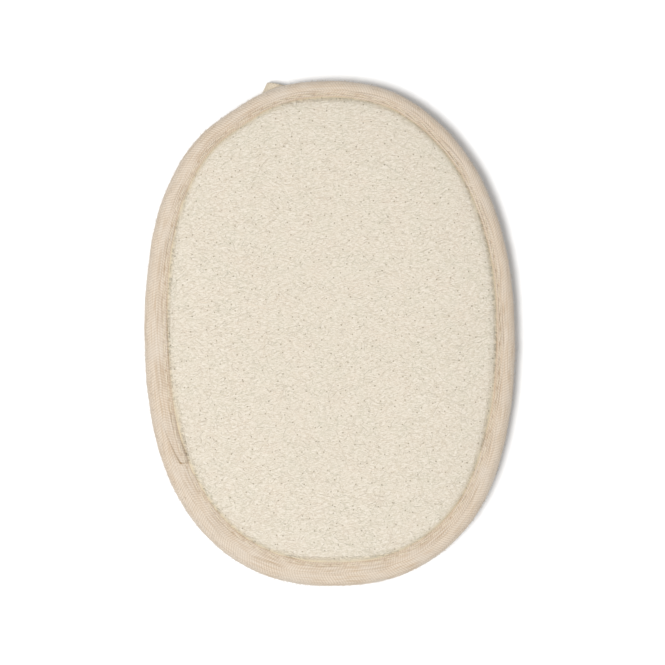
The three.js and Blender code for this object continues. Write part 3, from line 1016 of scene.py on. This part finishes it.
@dataclass(frozen=True)
class Loofah:
    """The loofah face: a crowned mat with layers of single strands lying over it."""

    pad: Pad
    spring_up: float = 1.9
    spring_before: float = 0.5
    crown_up: float = 2.0
    hollow_up: float = 1.55
    columns: int = 78
    rows: int = 108
    spring_run: float = 0.45
    mat_below: float = 0.06
    net: float = 0.01
    flow: float = 0.35
    flow_length: float = 24.0
    bend: float = 0.05
    sway: tuple[float, float] = (0.04, 0.16)
    sway_length: tuple[float, float] = (3.0, 8.0)
    lift_spread: float = 0.014
    dip: float = 0.05
    dip_share: float = 0.4
    tone_draw: tuple[float, float] = (1.6, 2.6)
    # Painted shade by the tape: how much browner strands beside it turn, and how deep the shade on strands
    # over its edge runs.
    edge_shade_straw: float = 0.4
    crease_shade_depth: float = 0.6
    tuck: float = 0.35
    flatness: float = 0.5
    sides: int = 3
    layers: tuple[StrandLayer, ...] = (
        StrandLayer("loofah_long_strands", 1400, (6.0, 12.0), (0.08, 0.12), (18, 42), 0.4, -0.01, 11, 11),
        StrandLayer("loofah_strands_lower", 8600, (2.4, 4.8), (0.068, 0.1), (15, 40), 0.25, 0.0, 5, 12),
        StrandLayer("loofah_strands_upper", 11300, (1.7, 3.4), (0.064, 0.094), (14, 42), 0.24, 0.01, 4, 13),
        StrandLayer("loofah_short_fibres", 12000, (0.9, 1.9), (0.052, 0.082), (24, 60), 0.4, 0.02, 4, 14),
    )

    def top(self, x: Array, y: Array) -> Array:
        """Shapes the sheet's face: held by the tape, then swelling up to a crown.

        Args:
            x: Points' x.
            y: Their y.

        Returns:
            Heights over the middle plane.
        """
        beyond = self.pad.beyond(x, y, Side.FRONT)
        height = self.pad.layer_height(self.pad.flap(x, y, Side.FRONT), self.pad.inset(x, y), Side.FRONT)
        height = height + self.spring_up * self.pad.spring(beyond + self.spring_before, self.spring_run)
        swell = Ripple(6.5, 21, stretch=1.6)(x, y) + 0.6 * Ripple(2.6, 22, stretch=2.0)(x, y)
        return height + self.crown_up * self.pad.crown(beyond) + self.net * swell * smooth(beyond, 0.0, 2.5)

    def build(self) -> None:
        s = self.pad.shape
        x, y = self.pad.oval_grid(self.columns, self.rows, s.layer_start)
        upper = np.maximum(s.rim_z + self.top(x, y) - self.mat_below, s.rim_z + s.clear)
        hollow = self.hollow_up * self.pad.crown(self.pad.inset(x, y) - s.hollow_inset)
        # Painted shade: the mat's tone marks the creases beside the tape's inner edge.
        tone = np.tile((1 - smooth(self.pad.beyond(x, y, Side.FRONT), 0.1, 1.2)).ravel(), 2)
        body = MeshMaker.lens(x, y, upper, s.rim_z + s.clear / 2 + hollow)
        mat = MeshMaker.make("loofah_mat", *body, tone=tone)
        dress(mat, LoofahMat().make(), Slot.LOOFAH, "loofah_sheet")
        fibre = LoofahFibre().make()
        for layer in self.layers:
            points, faces, tone = self.strands(layer)
            dress(MeshMaker.make(layer.name, points, faces, tone=tone), fibre, Slot.LOOFAH, "loofah_sheet")

    def strands(self, layer: StrandLayer) -> tuple[Array, list[Array], Array]:
        """Lays one lot of strands on the mat.

        A strand is a slightly bent line through a point drawn in its own cell of a grid. Its height is the
        mat's, plus the layer's lift in the middle, and its ends dip into the mat. A strand that would cross
        the tape is shortened until its ends are just tucked under it.

        Args:
            layer: The lot's sizes.

        Returns:
            Points, faces and each point's tone, which carries painted shade beside the tape.
        """
        s = self.pad.shape
        draw = np.random.default_rng(layer.seed)
        size = (layer.count, 1)
        cell = math.sqrt(4 * s.half_width * s.half_length / layer.count)
        columns = round(2 * s.half_width / cell)
        place = np.arange(layer.count)[:, None]
        x0 = (place % columns + draw.random(size)) * 2 * s.half_width / columns - s.half_width
        y0 = (place // columns + draw.random(size)) * cell - s.half_length
        share = (y0 + s.half_length) / (2 * s.half_length)
        spread = np.radians(layer.spread[1] + (layer.spread[0] - layer.spread[1]) * share)
        lean = self.flow * Ripple(self.flow_length, 31)(x0, y0) + draw.normal(0, 1, size) * spread
        lean = np.where(draw.random(size) < layer.cross, draw.uniform(0, math.pi, size), lean)
        length = draw.uniform(*layer.length, size)
        radius = draw.uniform(*layer.radius, size)
        cos, sin = np.cos(lean), np.sin(lean)
        here = self.pad.beyond(x0, y0, Side.FRONT)
        ends = length * np.array([-0.5, 0.5])
        far = self.pad.beyond(x0 + ends * cos, y0 + ends * sin, Side.FRONT).min(axis=1, keepdims=True)
        kept = (here + self.tuck) / np.maximum(here - far, 0.01)
        length = np.where(far < -self.tuck, length * kept, length)
        t = np.linspace(-0.5, 0.5, layer.steps)
        along = length * t
        aside = draw.normal(0, self.bend, size) * along ** 2 / 2
        aside = aside + draw.uniform(*self.sway, size) * np.sin(
            TAU * along / draw.uniform(*self.sway_length, size) + draw.uniform(0, TAU, size))
        x = x0 + along * cos - aside * sin
        y = y0 + along * sin + aside * cos
        beyond = self.pad.beyond(x, y, Side.FRONT)
        keep = (here[:, 0] > 0.1) & (beyond.min(axis=1) > -self.tuck - 0.15)
        free = smooth(beyond, -0.2, 0.4)
        lift = (layer.lift + draw.normal(0, self.lift_spread, size)) * free
        dip = (self.dip + self.dip_share * radius) * np.abs(2 * t) ** 4
        face = s.rim_z + self.top(x, y)
        z = face - self.mat_below * free + lift * (1 - np.abs(2 * t) ** 3) - dip
        z = np.where(beyond < 0.2, np.minimum(z, face - radius), z)
        taper = np.sqrt(np.clip(1 - np.abs(2 * t) ** 5, 0.05, 1))
        points, faces = Tubes.build(xyz(x, y, z)[keep], (radius * taper)[keep], self.sides, self.flatness)
        # Painted shade: strands beside the tape's inner edge turn browner, and those over it get a tone past
        # 1 that the material paints as shade.
        beside = 1 - smooth(beyond[:, layer.steps // 2, None], 0.3, 3.0)
        tone = np.clip(draw.beta(*self.tone_draw, size) + self.edge_shade_straw * beside, 0, 1)
        tone = np.where(beyond < 0.6, 1.0 + self.crease_shade_depth * (1 - smooth(beyond, -0.1, 0.6)), tone)
        return points, faces, np.repeat(tone[keep].ravel(), self.sides)


@dataclass(frozen=True)
class BindingTape:
    """The herringbone tape folded over the edge, with its gathers, its seam groove and its lapped joint."""

    pad: Pad
    cut_width: float = 18.0
    teeth: int = 432
    per_tooth: int = 3
    flat_columns: int = 19
    fold_columns: int = 18
    back_columns: int = 12
    lining_columns: int = 7
    groove_deep: float = 0.26
    hole_deep: float = 0.2
    groove_half: float = 0.31
    edge_thin: float = 0.48
    tooth_deep: float = 0.1
    gather_high: float = 0.14
    gather_pitch: float = 0.95
    pucker_high: float = 0.05
    pucker_pitch: float = 1.9
    join_angle: float = math.radians(217.4)
    join_rise: float = 0.7
    join_overlap: float = 13.0
    join_fade: float = 7.0
    join_width: float = 2.4
    join_slant: float = 0.14
    join_end_slant: float = 0.3
    join_edge: float = 0.3
    join_press: float = 0.85
    join_behind: float = 0.42
    # Depths of painted shade: along the joint's fold and across its end, in its pit, on the cut lips, in the
    # gathers' hollows, in the needle holes and at the ragged inner edge.
    join_shade_run: float = 5.0
    joint_fold_shade: float = 0.95
    joint_end_shade: float = 0.45
    joint_pit_shade: float = 1.1
    lip_shade: float = 0.3
    gather_shade: float = 0.27
    needle_hole_shade: float = 0.25
    ragged_edge_shade: float = 0.4
    lining_in: float = 0.1
    lip_gap: float = 0.6
    fold_wander: float = 0.05
    fold_pucker: float = 0.6
    fuzz_count: int = 2600
    fuzz_over: tuple[float, float] = (-0.8, 1.2)
    fuzz_length: tuple[float, float] = (0.5, 1.3)
    fuzz_lean: float = 1.2
    fuzz_in: float = 0.1
    fuzz_steps: int = 3
    fuzz_radius: float = 0.045

    @property
    def shares(self) -> Array:
        """Shares of the way round of the rows of points."""
        return np.arange(self.teeth * self.per_tooth) / (self.teeth * self.per_tooth)

    def before_join(self, share: Array) -> Array:
        """Distance along the rim back from the tape's upper end."""
        return (self.pad.rim.share_at(self.join_angle) - share) * self.pad.rim.length

    def run(self, share: Array) -> Array:
        """Length of tape from its lapped end, so that nothing on the cloth breaks but at the joint."""
        return (share - self.pad.rim.share_at(self.join_angle)) % 1.0 * self.pad.rim.length

    def fades(self, back: Array) -> Array:
        """1 over the joint's overlap, then sinking to 0 over the fade's length."""
        return 1 - smooth(back, self.join_overlap, self.join_overlap + self.join_fade)

    def tooth(self, share: Array) -> Array:
        """How far the fine teeth of the cut edge stand out."""
        return self.tooth_deep * np.cos(TAU * share * self.teeth)

    def pucker(self, u: Array, distance: Array) -> Array:
        """Short ridges across the tape, as a sine along it that wanders."""
        return self.pucker_high * np.sin(TAU * (u + 0.5 * Ripple(6.0, 47)(u, distance)) / self.pucker_pitch)

    def joint(self, share: Array, distance: Array, flap: Array) -> tuple[Array, Array]:
        """Laps the upper end of the tape over the lower one, with painted shade where it ends.

        The lap is full height back from its slanting end and inside its slanting fold, and sinks away over
        the fade's length. Painted shade lies along the fold and across the end, deepest where the two meet.

        Args:
            share: Shares of the way round.
            distance: Distances inside the rim.
            flap: The front flap's width.

        Returns:
            The height to add and the depth of painted shade.
        """
        back = self.before_join(share)
        width = self.join_width + self.join_slant * np.maximum(back, 0.0)
        into = distance - flap + width
        end = back + self.join_end_slant * np.clip(into, 0.0, width)
        inside = smooth(into, -0.15, 0.15) * (1 - self.join_press * smooth(distance, flap - 1.0, flap))
        lap = self.join_rise * inside * smooth(end, 0.0, self.join_edge) * self.fades(end)
        # Painted shade along the fold, across the end and in the pit.
        fold = bell(into + 0.12, 0.2) * smooth(back, -0.2, 0.3) * self.fades(back)
        fold = fold * (0.25 + 0.75 * np.exp(-np.maximum(back, 0.0) / self.join_shade_run))
        across = bell(end + 0.1, 0.22) * smooth(into, -0.3, 0.0)
        pit = bell(back + 0.1, 0.3) * bell(into, 0.3)
        return lap, self.joint_fold_shade * np.maximum(fold, self.joint_end_shade * across) + self.joint_pit_shade * pit

    def relief(self, share: Array, distance: Array, flap: Array, side: Side) -> tuple[Array, Array]:
        """Shapes a flap: the groove of the seam, gathers along the inner half and puckers over the fold.

        The groove is a bell curve in the distance from the seam, deeper at each needle hole. The gathers are
        narrow ridges along the rim that wander and fade. The puckers are short ridges across it. The cloth
        thins out at its inner edge.

        Args:
            share: Shares of the way round.
            distance: Distances inside the rim.
            flap: The flap's width.
            side: Which flap it is.

        Returns:
            The height to add and the depth of painted shade in the gathers' hollows, the needle holes and at
            the ragged inner edge.
        """
        u = self.run(share)
        groove = bell(distance - flap + self.pad.shape.seam_from_edge, self.groove_half)
        hole = (0.5 + 0.5 * np.cos(TAU * share * self.pad.shape.stitches)) ** 12
        wander = 0.5 * Ripple(19.0, 41 + side.value)(u, 3.0 * distance) + 0.12 * Ripple(5.0, 45)(u, distance)
        ridge = np.sin(TAU * (distance + wander) / self.gather_pitch)
        inner = smooth(distance, 0.15 * flap, 0.5 * flap) * (1 - smooth(distance, flap - 0.6, flap - 0.1))
        inner = inner * smooth(Ripple(14.0, 43 + side.value)(u, 2.2 * distance), -1.0, 0.6)
        outer = smooth(distance, 0.2, 1.2) * (1 - smooth(distance, 0.5 * flap, 0.75 * flap))
        outer = outer * smooth(Ripple(14.0, 48)(u, distance), -0.6, 0.6)
        edge = smooth(distance, flap - 0.75, flap)
        height = self.gather_high * ridge * inner + self.pucker(u, distance) * outer
        height = height - groove * (self.groove_deep + self.hole_deep * hole) - self.edge_thin * edge
        # Painted shade in the gathers' hollows, the needle holes and the ragged inner edge.
        ragged = 0.5 + 0.5 * Ripple(2.4, 46)(u, distance)
        tone = self.gather_shade * smooth(-ridge, 0.3, 1.0) * inner + self.needle_hole_shade * groove * hole
        return height, tone + self.ragged_edge_shade * ragged * edge ** 4

    def flat(self, at: Places, side: Side, columns: int) -> tuple[Array, ...]:
        """Shapes the flat part of a flap, in the order that the ring runs in.

        Args:
            at: Places round the rim, as columns.
            side: Which flap it is.
            columns: Points between its inner edge and where the fold begins.

        Returns:
            Distances inside the rim, heights from the middle plane and depths of painted shade.
        """
        flap = at.flap[side]
        t = np.linspace(0.0, 1.0, columns, endpoint=False)
        distance = (flap + self.tooth(at.share) * (1 - t) ** 3) * (1 - t) + self.pad.nose_depth(flap) * t
        forms, tone = self.relief(at.share, distance, flap, side)
        if side is Side.FRONT:
            lap, lines = self.joint(at.share, distance, flap)
            # The joint's painted shade is added here.
            tone = tone + lines
        else:
            back = self.before_join(at.share)
            lap = self.join_behind * smooth(back, 0.0, 0.5) * self.fades(back)
        height = side.value * (self.pad.tape_height(flap, distance, side) + forms + lap)
        return tuple(v[:, ::side.value] for v in (distance, height, np.clip(tone, 0.0, 1.0)))

    def build(self) -> None:
        """Builds the tape as one closed ring: the outside, edge to edge over the fold, then the lining."""
        s = self.pad.shape
        at = self.pad.rim.at(self.shares[:, None])
        noses = [self.pad.nose_depth(at.flap[side]) for side in Side]
        u = self.run(at.share)
        turn = np.linspace(math.pi / 2, -math.pi / 2, self.fold_columns + 1)
        round_over = smooth(np.abs(turn), 0.0, 0.9)
        fold_d = np.where(turn >= 0, *noses) * (1 - np.cos(turn))
        fold_h = s.nose_half * np.sin(turn)
        fold_d = fold_d - self.fold_pucker * self.pucker(u, fold_d) * (1 - round_over)
        fold_d = fold_d - self.fold_wander * Ripple(9.0, 49)(u, fold_h)
        lap = np.where(turn > 0, self.joint(at.share, fold_d, at.flap[Side.FRONT])[0], 0.0)
        line = np.linspace(-1.0, 1.0, self.lining_columns)
        half = s.nose_half - s.tape
        deep = np.where(line >= 0, *noses) + self.lining_in
        lining_d = s.tape + (deep - s.tape) * (1 - np.cos(line * math.pi / 2))
        sunk = half - self.lip_gap * s.clear
        # Each cut lip facing the pad gets painted shade.
        lip = {side: (at.flap[side] + self.tooth(at.share), side.value * (sunk + s.rise[side]), self.lip_shade)
               for side in Side}
        parts = (self.flat(at, Side.FRONT, self.flat_columns), (fold_d, fold_h + lap * round_over, 0.0),
                 self.flat(at, Side.BACK, self.back_columns), lip[Side.BACK],
                 (lining_d, half * np.sin(line * math.pi / 2), 0.0), lip[Side.FRONT])
        whole = zip(*(np.broadcast_arrays(*part) for part in parts))
        distance, height, tone = (np.concatenate(rows, axis=1) for rows in whole)
        points = xyz(*at.inward(distance), s.rim_z + height)
        faces = MeshMaker.quads(*distance.shape, close_rows=True, close_columns=True)[:, ::-1]
        uv = self.cloth_map(points)[:, ::-1]
        tape = MeshMaker.make("herringbone_binding", points.reshape(-1, 3), [faces], [uv], tone.ravel())
        dress(tape, HerringboneCotton().make(), Slot.BINDING, "binding_tape")
        self.fuzz()

    def fuzz(self) -> None:
        """Sets loose cotton fibres standing off the fold: short arcs that lean any way along the tape."""
        draw = np.random.default_rng(51)
        size = (self.fuzz_count, 1)
        at = self.pad.rim.at(draw.random(size))
        over = draw.uniform(*self.fuzz_over, size)
        t = np.linspace(0.0, 1.0, self.fuzz_steps)
        length = draw.uniform(*self.fuzz_length, size) * t
        lean = draw.uniform(-self.fuzz_lean, self.fuzz_lean, size)
        stand = length * np.cos(lean) * (1 - 0.35 * t)
        foot = self.pad.nose_depth(at.flap[Side.FRONT]) * (1 - np.cos(over)) + self.fuzz_in
        height = (self.pad.shape.nose_half + stand) * np.sin(over) - self.fuzz_in
        x, y = at.inward(foot - stand * np.cos(over), length * np.sin(lean))
        paths = xyz(x, y, self.pad.shape.rim_z + height)
        points, faces = Tubes.build(paths, np.full(size, self.fuzz_radius) * (1 - 0.6 * t), 3)
        down = SoftCotton("loose_cotton_fibres", "cfc4b4", "bfb2a0", 0.3)
        dress(MeshMaker.make("binding_fuzz", points, faces), down.make(), Slot.BINDING, "binding_tape")

    def cloth_map(self, points: Array) -> Array:
        """Lays the ring out on the cloth: u along the tape, v across from the front flap's inner edge.

        Args:
            points: The ring's points, of shape (rows, columns, 3).

        Returns:
            The corners' places in centimetres.
        """
        step = np.linalg.norm(np.diff(points, axis=1, append=points[:, :1]), axis=-1)
        across = np.concatenate([[0.0], np.cumsum(step.mean(axis=0))]) / 10
        start = self.run(self.shares)[:, None] / 10
        return MeshMaker.cloth(start, start + self.pad.rim.length / len(points) / 10, across)


@dataclass(frozen=True)
class Stitching:
    """A row of lock stitches along a flap: a thread that stands up in each stitch and dips between two."""

    pad: Pad
    tape: BindingTape
    per_stitch: int = 10
    sides: int = 6
    radius: float = 0.18
    high: float = -0.06
    low: float = -0.72
    zigzag: float = 0.1

    def build(self, side: Side, name: str, node: str) -> None:
        """Runs the thread along the seam as a closed ring.

        Its height over the tape is a flattened sine, so that most of a stitch lies straight.

        Args:
            side: Which flap it is sewn on.
            name: The piece's name.
            node: The solid that it replaces.
        """
        s = self.pad.shape
        total = s.stitches * self.per_stitch
        share = np.arange(total) / total
        at = self.pad.rim.at(share)
        flap = at.flap[side]
        seam = flap - s.seam_from_edge
        wave = 0.5 - 0.5 * np.cos(TAU * share * s.stitches)
        height = self.pad.tape_height(flap, seam, side) + self.low + (self.high - self.low) * wave ** 0.45
        if side is Side.FRONT:
            height = height + self.tape.joint(share, seam, flap)[0]
        slant = self.zigzag * np.sin(TAU * share * s.stitches)
        path = xyz(*at.inward(seam + slant), s.rim_z + side.value * height)
        along = unit(np.roll(path, -1, axis=0) - np.roll(path, 1, axis=0))
        thick = self.radius * (1 - 0.25 * (1 - wave) ** 3)
        points = Tubes.rings(path, along, thick, self.sides, start=0.0)
        thread = MeshMaker.make(name, points, [MeshMaker.quads(total, self.sides, True, True)])
        dress(thread, SoftCotton("spun_cotton_thread", "d8ccb8", "c2b49d", 0.35).make(), Slot.THREAD, node)


@dataclass(frozen=True)
class HandStrap:
    """The cotton webbing across the back, caught under the tape at both sides, flat where the pad rests."""

    pad: Pad
    width: float = 36.0
    thick: float = 1.0
    end_x: float = 51.3
    end_below: float = 1.55
    exit_x: float = 46.5
    flat_x: float = 24.0
    free_x: float = 40.0
    wave_high: float = 0.22
    steps: int = 190
    across: int = 62

    def middle(self, x: Array) -> Array:
        """Height of the webbing's middle: flat, then a smooth rise to where the tape holds it."""
        low, high = self.thick / 2, self.pad.shape.rim_z - self.end_below
        return low + (high - low) * smooth(np.abs(x), self.flat_x, self.exit_x)

    def build(self) -> None:
        """Builds the webbing with a very slight wave in its free parts."""
        x = np.linspace(-self.end_x, self.end_x, self.steps)
        y = np.linspace(-0.5, 0.5, self.across) * self.width
        middle = xyz(x, 0.0, self.middle(x))
        along = unit(np.gradient(middle, axis=0))
        up = xyz(-along[:, 2], 0.0, along[:, 0])
        far = np.abs(x)
        free = smooth(far, self.flat_x, self.flat_x + 6) * (1 - smooth(far, self.free_x, self.exit_x))
        ease = self.wave_high * free[:, None] * Ripple(16.0, 61)(x[:, None], y)
        band = Band(self.width, self.thick, self.across).build(middle, up, np.array([0.0, 1.0, 0.0]), ease)
        webbing = PlainCotton("woven_cotton_webbing", "d6cab8", "b3a28c", 0.19)
        strap = dress(MeshMaker.make("webbing_hand_strap", *band), webbing.make(), Slot.WEBBING, "hand_strap")
        length = float(way(middle)[-1])


@dataclass(frozen=True)
class TerryBack:
    """The terry back: a cotton ground with a pile of small loops, pressed down where the strap's ends lie."""

    pad: Pad
    strap: HandStrap
    crown_down: float = 3.5
    hollow_down: float = 1.2
    spring_down: float = 0.5
    spring_run: float = 1.3
    pile: float = 0.75
    columns: int = 60
    rows: int = 84
    loop_pitch: float = 1.42
    loop_stray: float = 0.16
    loop_half: tuple[float, float] = (0.4, 0.58)
    loop_tilt: float = 0.3
    loop_in: float = 0.05
    loop_radius: float = 0.24
    loop_steps: int = 5
    oval_share: float = 0.81
    pressed_y: float = 18.9
    pressed_x: float = 35.0
    seed: int = 71

    def depth(self, x: Array, y: Array) -> Array:
        """Shapes the terry's face, pile and all, with room for the strap's ends.

        Args:
            x: Points' x.
            y: Their y.

        Returns:
            Depths under the middle plane.
        """
        s, beyond = self.pad.shape, self.pad.beyond(x, y, Side.BACK)
        held = self.pad.layer_height(self.pad.flap(x, y, Side.BACK), self.pad.inset(x, y), Side.BACK)
        free = self.crown_down - (s.nose_half + s.rise[Side.BACK] - s.tape - s.clear) - self.spring_down
        depth = held + self.spring_down * self.pad.spring(beyond, self.spring_run)
        depth = depth + free * self.pad.crown(beyond)
        room = s.rim_z - self.strap.middle(x) - self.strap.thick / 2 - s.clear
        near = 1 - smooth(np.abs(y), self.strap.width / 2, self.strap.width / 2 + 1.2)
        return np.where(near > 0, np.minimum(depth, depth * (1 - near) + room * near), depth)

    def build(self) -> None:
        s = self.pad.shape
        x, y = self.pad.oval_grid(self.columns, self.rows, s.layer_start)
        sunk = self.pile * smooth(self.pad.beyond(x, y, Side.BACK), -0.6, 0.6)
        low = np.maximum(self.depth(x, y) - sunk, s.clear / 2 + 0.12)
        hollow = self.hollow_down * self.pad.crown(self.pad.inset(x, y) - s.hollow_inset)
        body = MeshMaker.lens(x, y, s.rim_z - np.minimum(s.clear / 2 + hollow, low - 0.1), s.rim_z - low)
        terry = SoftCotton("looped_cotton_terry", "ded5c5", "c3b8a4", 0.8).make()
        ground = dress(MeshMaker.make("terry_ground", *body), terry, Slot.TERRY, "terry_back")
        pile = dress(MeshMaker.make("terry_pile", *self.loops()), terry, Slot.TERRY, "terry_back")

    def loops(self) -> tuple[Array, list[Array]]:
        """Sets the pile: half rings of yarn in offset rows, each turned and leaning at random.

        A loop is a half circle of the pile's height in the plane of its own direction and of Z, with its feet
        in the ground.

        Returns:
            Points and faces.
        """
        s = self.pad.shape
        draw = np.random.default_rng(self.seed)
        columns, rows = (int(2 * half / self.loop_pitch) for half in (s.half_width, s.half_length))
        gx, gy = (g.reshape(-1, 1) for g in np.meshgrid(np.arange(columns), np.arange(rows)))
        x = (gx + 0.5 * (gy % 2)) * self.loop_pitch - s.half_width + draw.normal(0, self.loop_stray, gx.shape)
        y = gy * self.loop_pitch - s.half_length + draw.normal(0, self.loop_stray, gy.shape)
        pressed = (np.abs(y) < self.pressed_y) & (np.abs(x) > self.pressed_x)
        keep = ((self.pad.beyond(x, y, Side.BACK) > 0.75) & ~pressed).ravel()
        x, y = x[keep], y[keep]
        turn = draw.uniform(0, math.pi, x.shape)
        half = draw.uniform(*self.loop_half, x.shape)
        tall = draw.uniform(0.85, 1.15, x.shape) * self.pile
        arc = np.linspace(-0.1, math.pi + 0.1, self.loop_steps)
        along, down = half * np.cos(arc), tall * np.sin(arc)
        tilt = draw.normal(0, self.loop_tilt, x.shape) * np.maximum(down, 0)
        z = s.rim_z - self.depth(x, y) + self.pile + self.loop_in - down
        cos, sin = np.cos(turn), np.sin(turn)
        paths = xyz(x + along * cos - tilt * sin, y + along * sin + tilt * cos, z)
        return Tubes.build(paths, np.full(paths.shape[:2], self.loop_radius), 3)


@dataclass(frozen=True)
class InnerPadding:
    """The wadding between loofah and terry, lens shaped, thinning out before it reaches the tape."""

    pad: Pad
    above: float = 1.3
    below: float = 0.95
    uneven: float = 0.05
    columns: int = 40
    rows: int = 56

    def build(self) -> None:
        s = self.pad.shape
        x, y = self.pad.oval_grid(self.columns, self.rows, s.hollow_inset + 1.0)
        full = self.pad.crown(self.pad.inset(x, y) - s.hollow_inset)
        middle = s.rim_z + self.uneven * Ripple(9.0, 81)(x, y) * full
        body = MeshMaker.lens(x, y, middle + self.above * full, middle - self.below * full)
        cotton = SoftCotton("needled_cotton_wadding", "dedad0", "c8c1b3", 1.5)
        wadding = dress(MeshMaker.make("cotton_wadding", *body), cotton.make(), Slot.PADDING, "inner_padding")


@dataclass(frozen=True)
class HangingLoop:
    """The hanging loop: a plain tape folded double and tacked on the back, its fold out at the top left."""

    corner: tuple[float, float] = (-16.4, 76.3)
    heading: float = math.radians(-13.6)
    skew: float = math.radians(11.4)
    width: float = 10.0
    length: float = 34.0
    tack: float = 8.0
    thick: float = 0.7
    puff: float = 0.25
    top_z: float = 6.6
    low_z: float = 0.35
    lowest_at: float = 0.42
    across: int = 18
    path_steps: tuple[int, int, int] = (50, 22, 70)
    tack_rows: int = 4
    tack_stitches: int = 5
    tack_margin: float = 1.2
    tack_side: float = 1.0
    stitch: tuple[float, float] = (0.12, 0.88)
    stitch_high: float = 0.26
    thread_radius: float = 0.16

    @property
    def ahead(self) -> Array:
        """The direction along the tape, away from its corner."""
        return np.array([math.cos(self.heading), math.sin(self.heading), 0.0])

    @property
    def down(self) -> Array:
        """The direction across the tape from its corner, slanted by the skew of its fold."""
        ahead = self.ahead
        return np.array([ahead[1], -ahead[0], 0.0]) - math.tan(self.skew) * ahead

    def path(self) -> tuple[Array, Array]:
        """Draws the tape's middle line seen from its edge: out along the back, round the fold and home below.

        Returns:
            Its distances from the corner and its heights.
        """
        outward, bend, homeward = self.path_steps
        free = self.length - self.tack
        fold_half = (self.top_z - self.low_z) / 2
        radius = fold_half - self.thick / 2
        high, low = self.top_z - self.thick / 2, self.low_z + self.thick / 2
        home = self.top_z - 1.5 * self.thick - 0.05
        out = np.linspace(self.length, fold_half, outward, endpoint=False)
        turn = np.linspace(0, math.pi, bend)
        back = np.linspace(fold_half, self.length, homeward)[1:]
        rise = low + (home - low) * smooth(back, self.lowest_at * free, free)
        z = np.concatenate([np.full(out.size, high), self.top_z - fold_half + radius * np.cos(turn), rise])
        return np.concatenate([out, fold_half - radius * np.sin(turn), back]), z

    def spot(self, s: Array, across: Array, z: Array) -> Array:
        """Points at distances along and across the tape from its corner, at given heights."""
        return xyz(*(self.corner[i] + s * self.ahead[i] + across * self.down[i] for i in (0, 1)), z)

    def build(self) -> None:
        """Builds the folded tape and sews it down with a small box of stitches."""
        s, z = self.path()
        middle = self.spot(s, self.width / 2, z)
        along = unit(np.gradient(np.stack([s, z], axis=-1), axis=0))
        up = along[:, 1:] * self.ahead - along[:, :1] * np.array([0.0, 0.0, 1.0])
        band = Band(self.width, self.thick, self.across, self.puff).build(middle, up, self.down)
        tape = PlainCotton("woven_cotton_tape", "ded3c2", "bfb29c", 0.09)
        loop = dress(MeshMaker.make("tape_hanging_loop", *band), tape.make(), Slot.LOOP_TAPE, "hanging_loop")
        length = float(way(middle)[-1])
        self.sew()

    def sew(self) -> None:
        """Sews the tack: rows of small stitches across the doubled tape."""
        t = np.linspace(0, 1, 7)
        row, place = np.divmod(np.arange(self.tack_rows * self.tack_stitches)[:, None], self.tack_stitches)
        s = self.length - self.tack + self.tack_margin
        s = s + row * (self.tack - 2 * self.tack_margin) / (self.tack_rows - 1)
        pitch = (self.width - 2 * self.tack_side) / self.tack_stitches
        across = self.tack_side + (place + self.stitch[0] + (self.stitch[1] - self.stitch[0]) * t) * pitch
        z = self.top_z - 2 * self.thick + 0.06 - self.stitch_high * np.sin(math.pi * t) ** 0.5
        paths = self.spot(s, across, z)
        points, faces = Tubes.build(paths, np.full(paths.shape[:2], self.thread_radius), 6)
        thread = SoftCotton("spun_cotton_tack_thread", "cfc4b1", "b5a78e", 0.35)
        dress(MeshMaker.make("loop_tack_stitches", points, faces), thread.make(), Slot.THREAD)


@dataclass(frozen=True)
class Studio:
    """A pale floor, a soft light from the lower left and an even white surround, seen from straight above.

    The light and the floor are in metres, and what the camera sees is in millimetres.
    """

    frame_mm: float = 197.5
    centre: tuple[float, float] = (1.01, 0.62)
    roll: float = math.radians(-1.8)
    lens: float = 100.0
    sensor: float = 36.0
    sight_z: float = 10.5
    key_power: float = 6.9
    key_size: float = 0.2
    key_height: float = 0.9
    key_aside: tuple[float, float] = (-0.17, -0.11)
    surround: float = 0.56
    floor_half: float = 3.0
    floor_code: str = "f1f1f1"

    def build(self) -> None:
        """Makes the camera, the lights and the floor."""
        scene = bpy.context.scene
        scene.view_settings.view_transform = "Standard"
        eye = bpy.data.cameras.new("camera")
        eye.lens, eye.sensor_width = self.lens, self.sensor
        camera = bpy.data.objects.new("camera", eye)
        away = self.frame_mm * self.lens / self.sensor
        camera.location = [v * MM for v in (*self.centre, self.sight_z + away)]
        camera.rotation_euler = (0.0, 0.0, self.roll)
        scene.collection.objects.link(camera)
        scene.camera = camera
        lamp = bpy.data.lights.new("key_light", "AREA")
        lamp.shape, lamp.size, lamp.energy = "DISK", self.key_size, self.key_power
        key = bpy.data.objects.new("key_light", lamp)
        key.location = (*self.key_aside, self.key_height)
        key.rotation_euler = key.location.to_track_quat("Z", "Y").to_euler()
        scene.collection.objects.link(key)
        world = bpy.data.worlds.new("surround")
        world.use_nodes = True
        background = world.node_tree.nodes["Background"]
        background.inputs["Color"].default_value = (1.0, 1.0, 1.0, 1.0)
        background.inputs["Strength"].default_value = self.surround
        scene.world = world
        corners = np.array([[-1.0, -1.0, 0.0], [1.0, -1.0, 0.0], [1.0, 1.0, 0.0], [-1.0, 1.0, 0.0]])
        floor = MeshMaker.make("white_floor", corners * self.floor_half / MM, [np.array([[0, 1, 2, 3]])])
        web = Web("matt_white_board")
        floor.data.materials.append(web.finish(web.add("BsdfPrincipled", {
            "Base Color": linear(self.floor_code), "Roughness": 0.9, "Specular IOR Level": 0.1})))


def main() -> None:
    """Loads the frame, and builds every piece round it."""
    logging.basicConfig(level=logging.INFO, format="%(name)s %(message)s")
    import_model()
    Studio().build()
    pad = Pad(PadShape())
    Loofah(pad).build()
    InnerPadding(pad).build()
    strap = HandStrap(pad)
    TerryBack(pad, strap).build()
    tape = BindingTape(pad)
    tape.build()
    stitching = Stitching(pad, tape)
    stitching.build(Side.FRONT, "front_seam_thread", "front_stitching")
    stitching.build(Side.BACK, "back_seam_thread", "back_stitching")
    strap.build()
    HangingLoop().build()


if __name__ == "__main__":
    main()
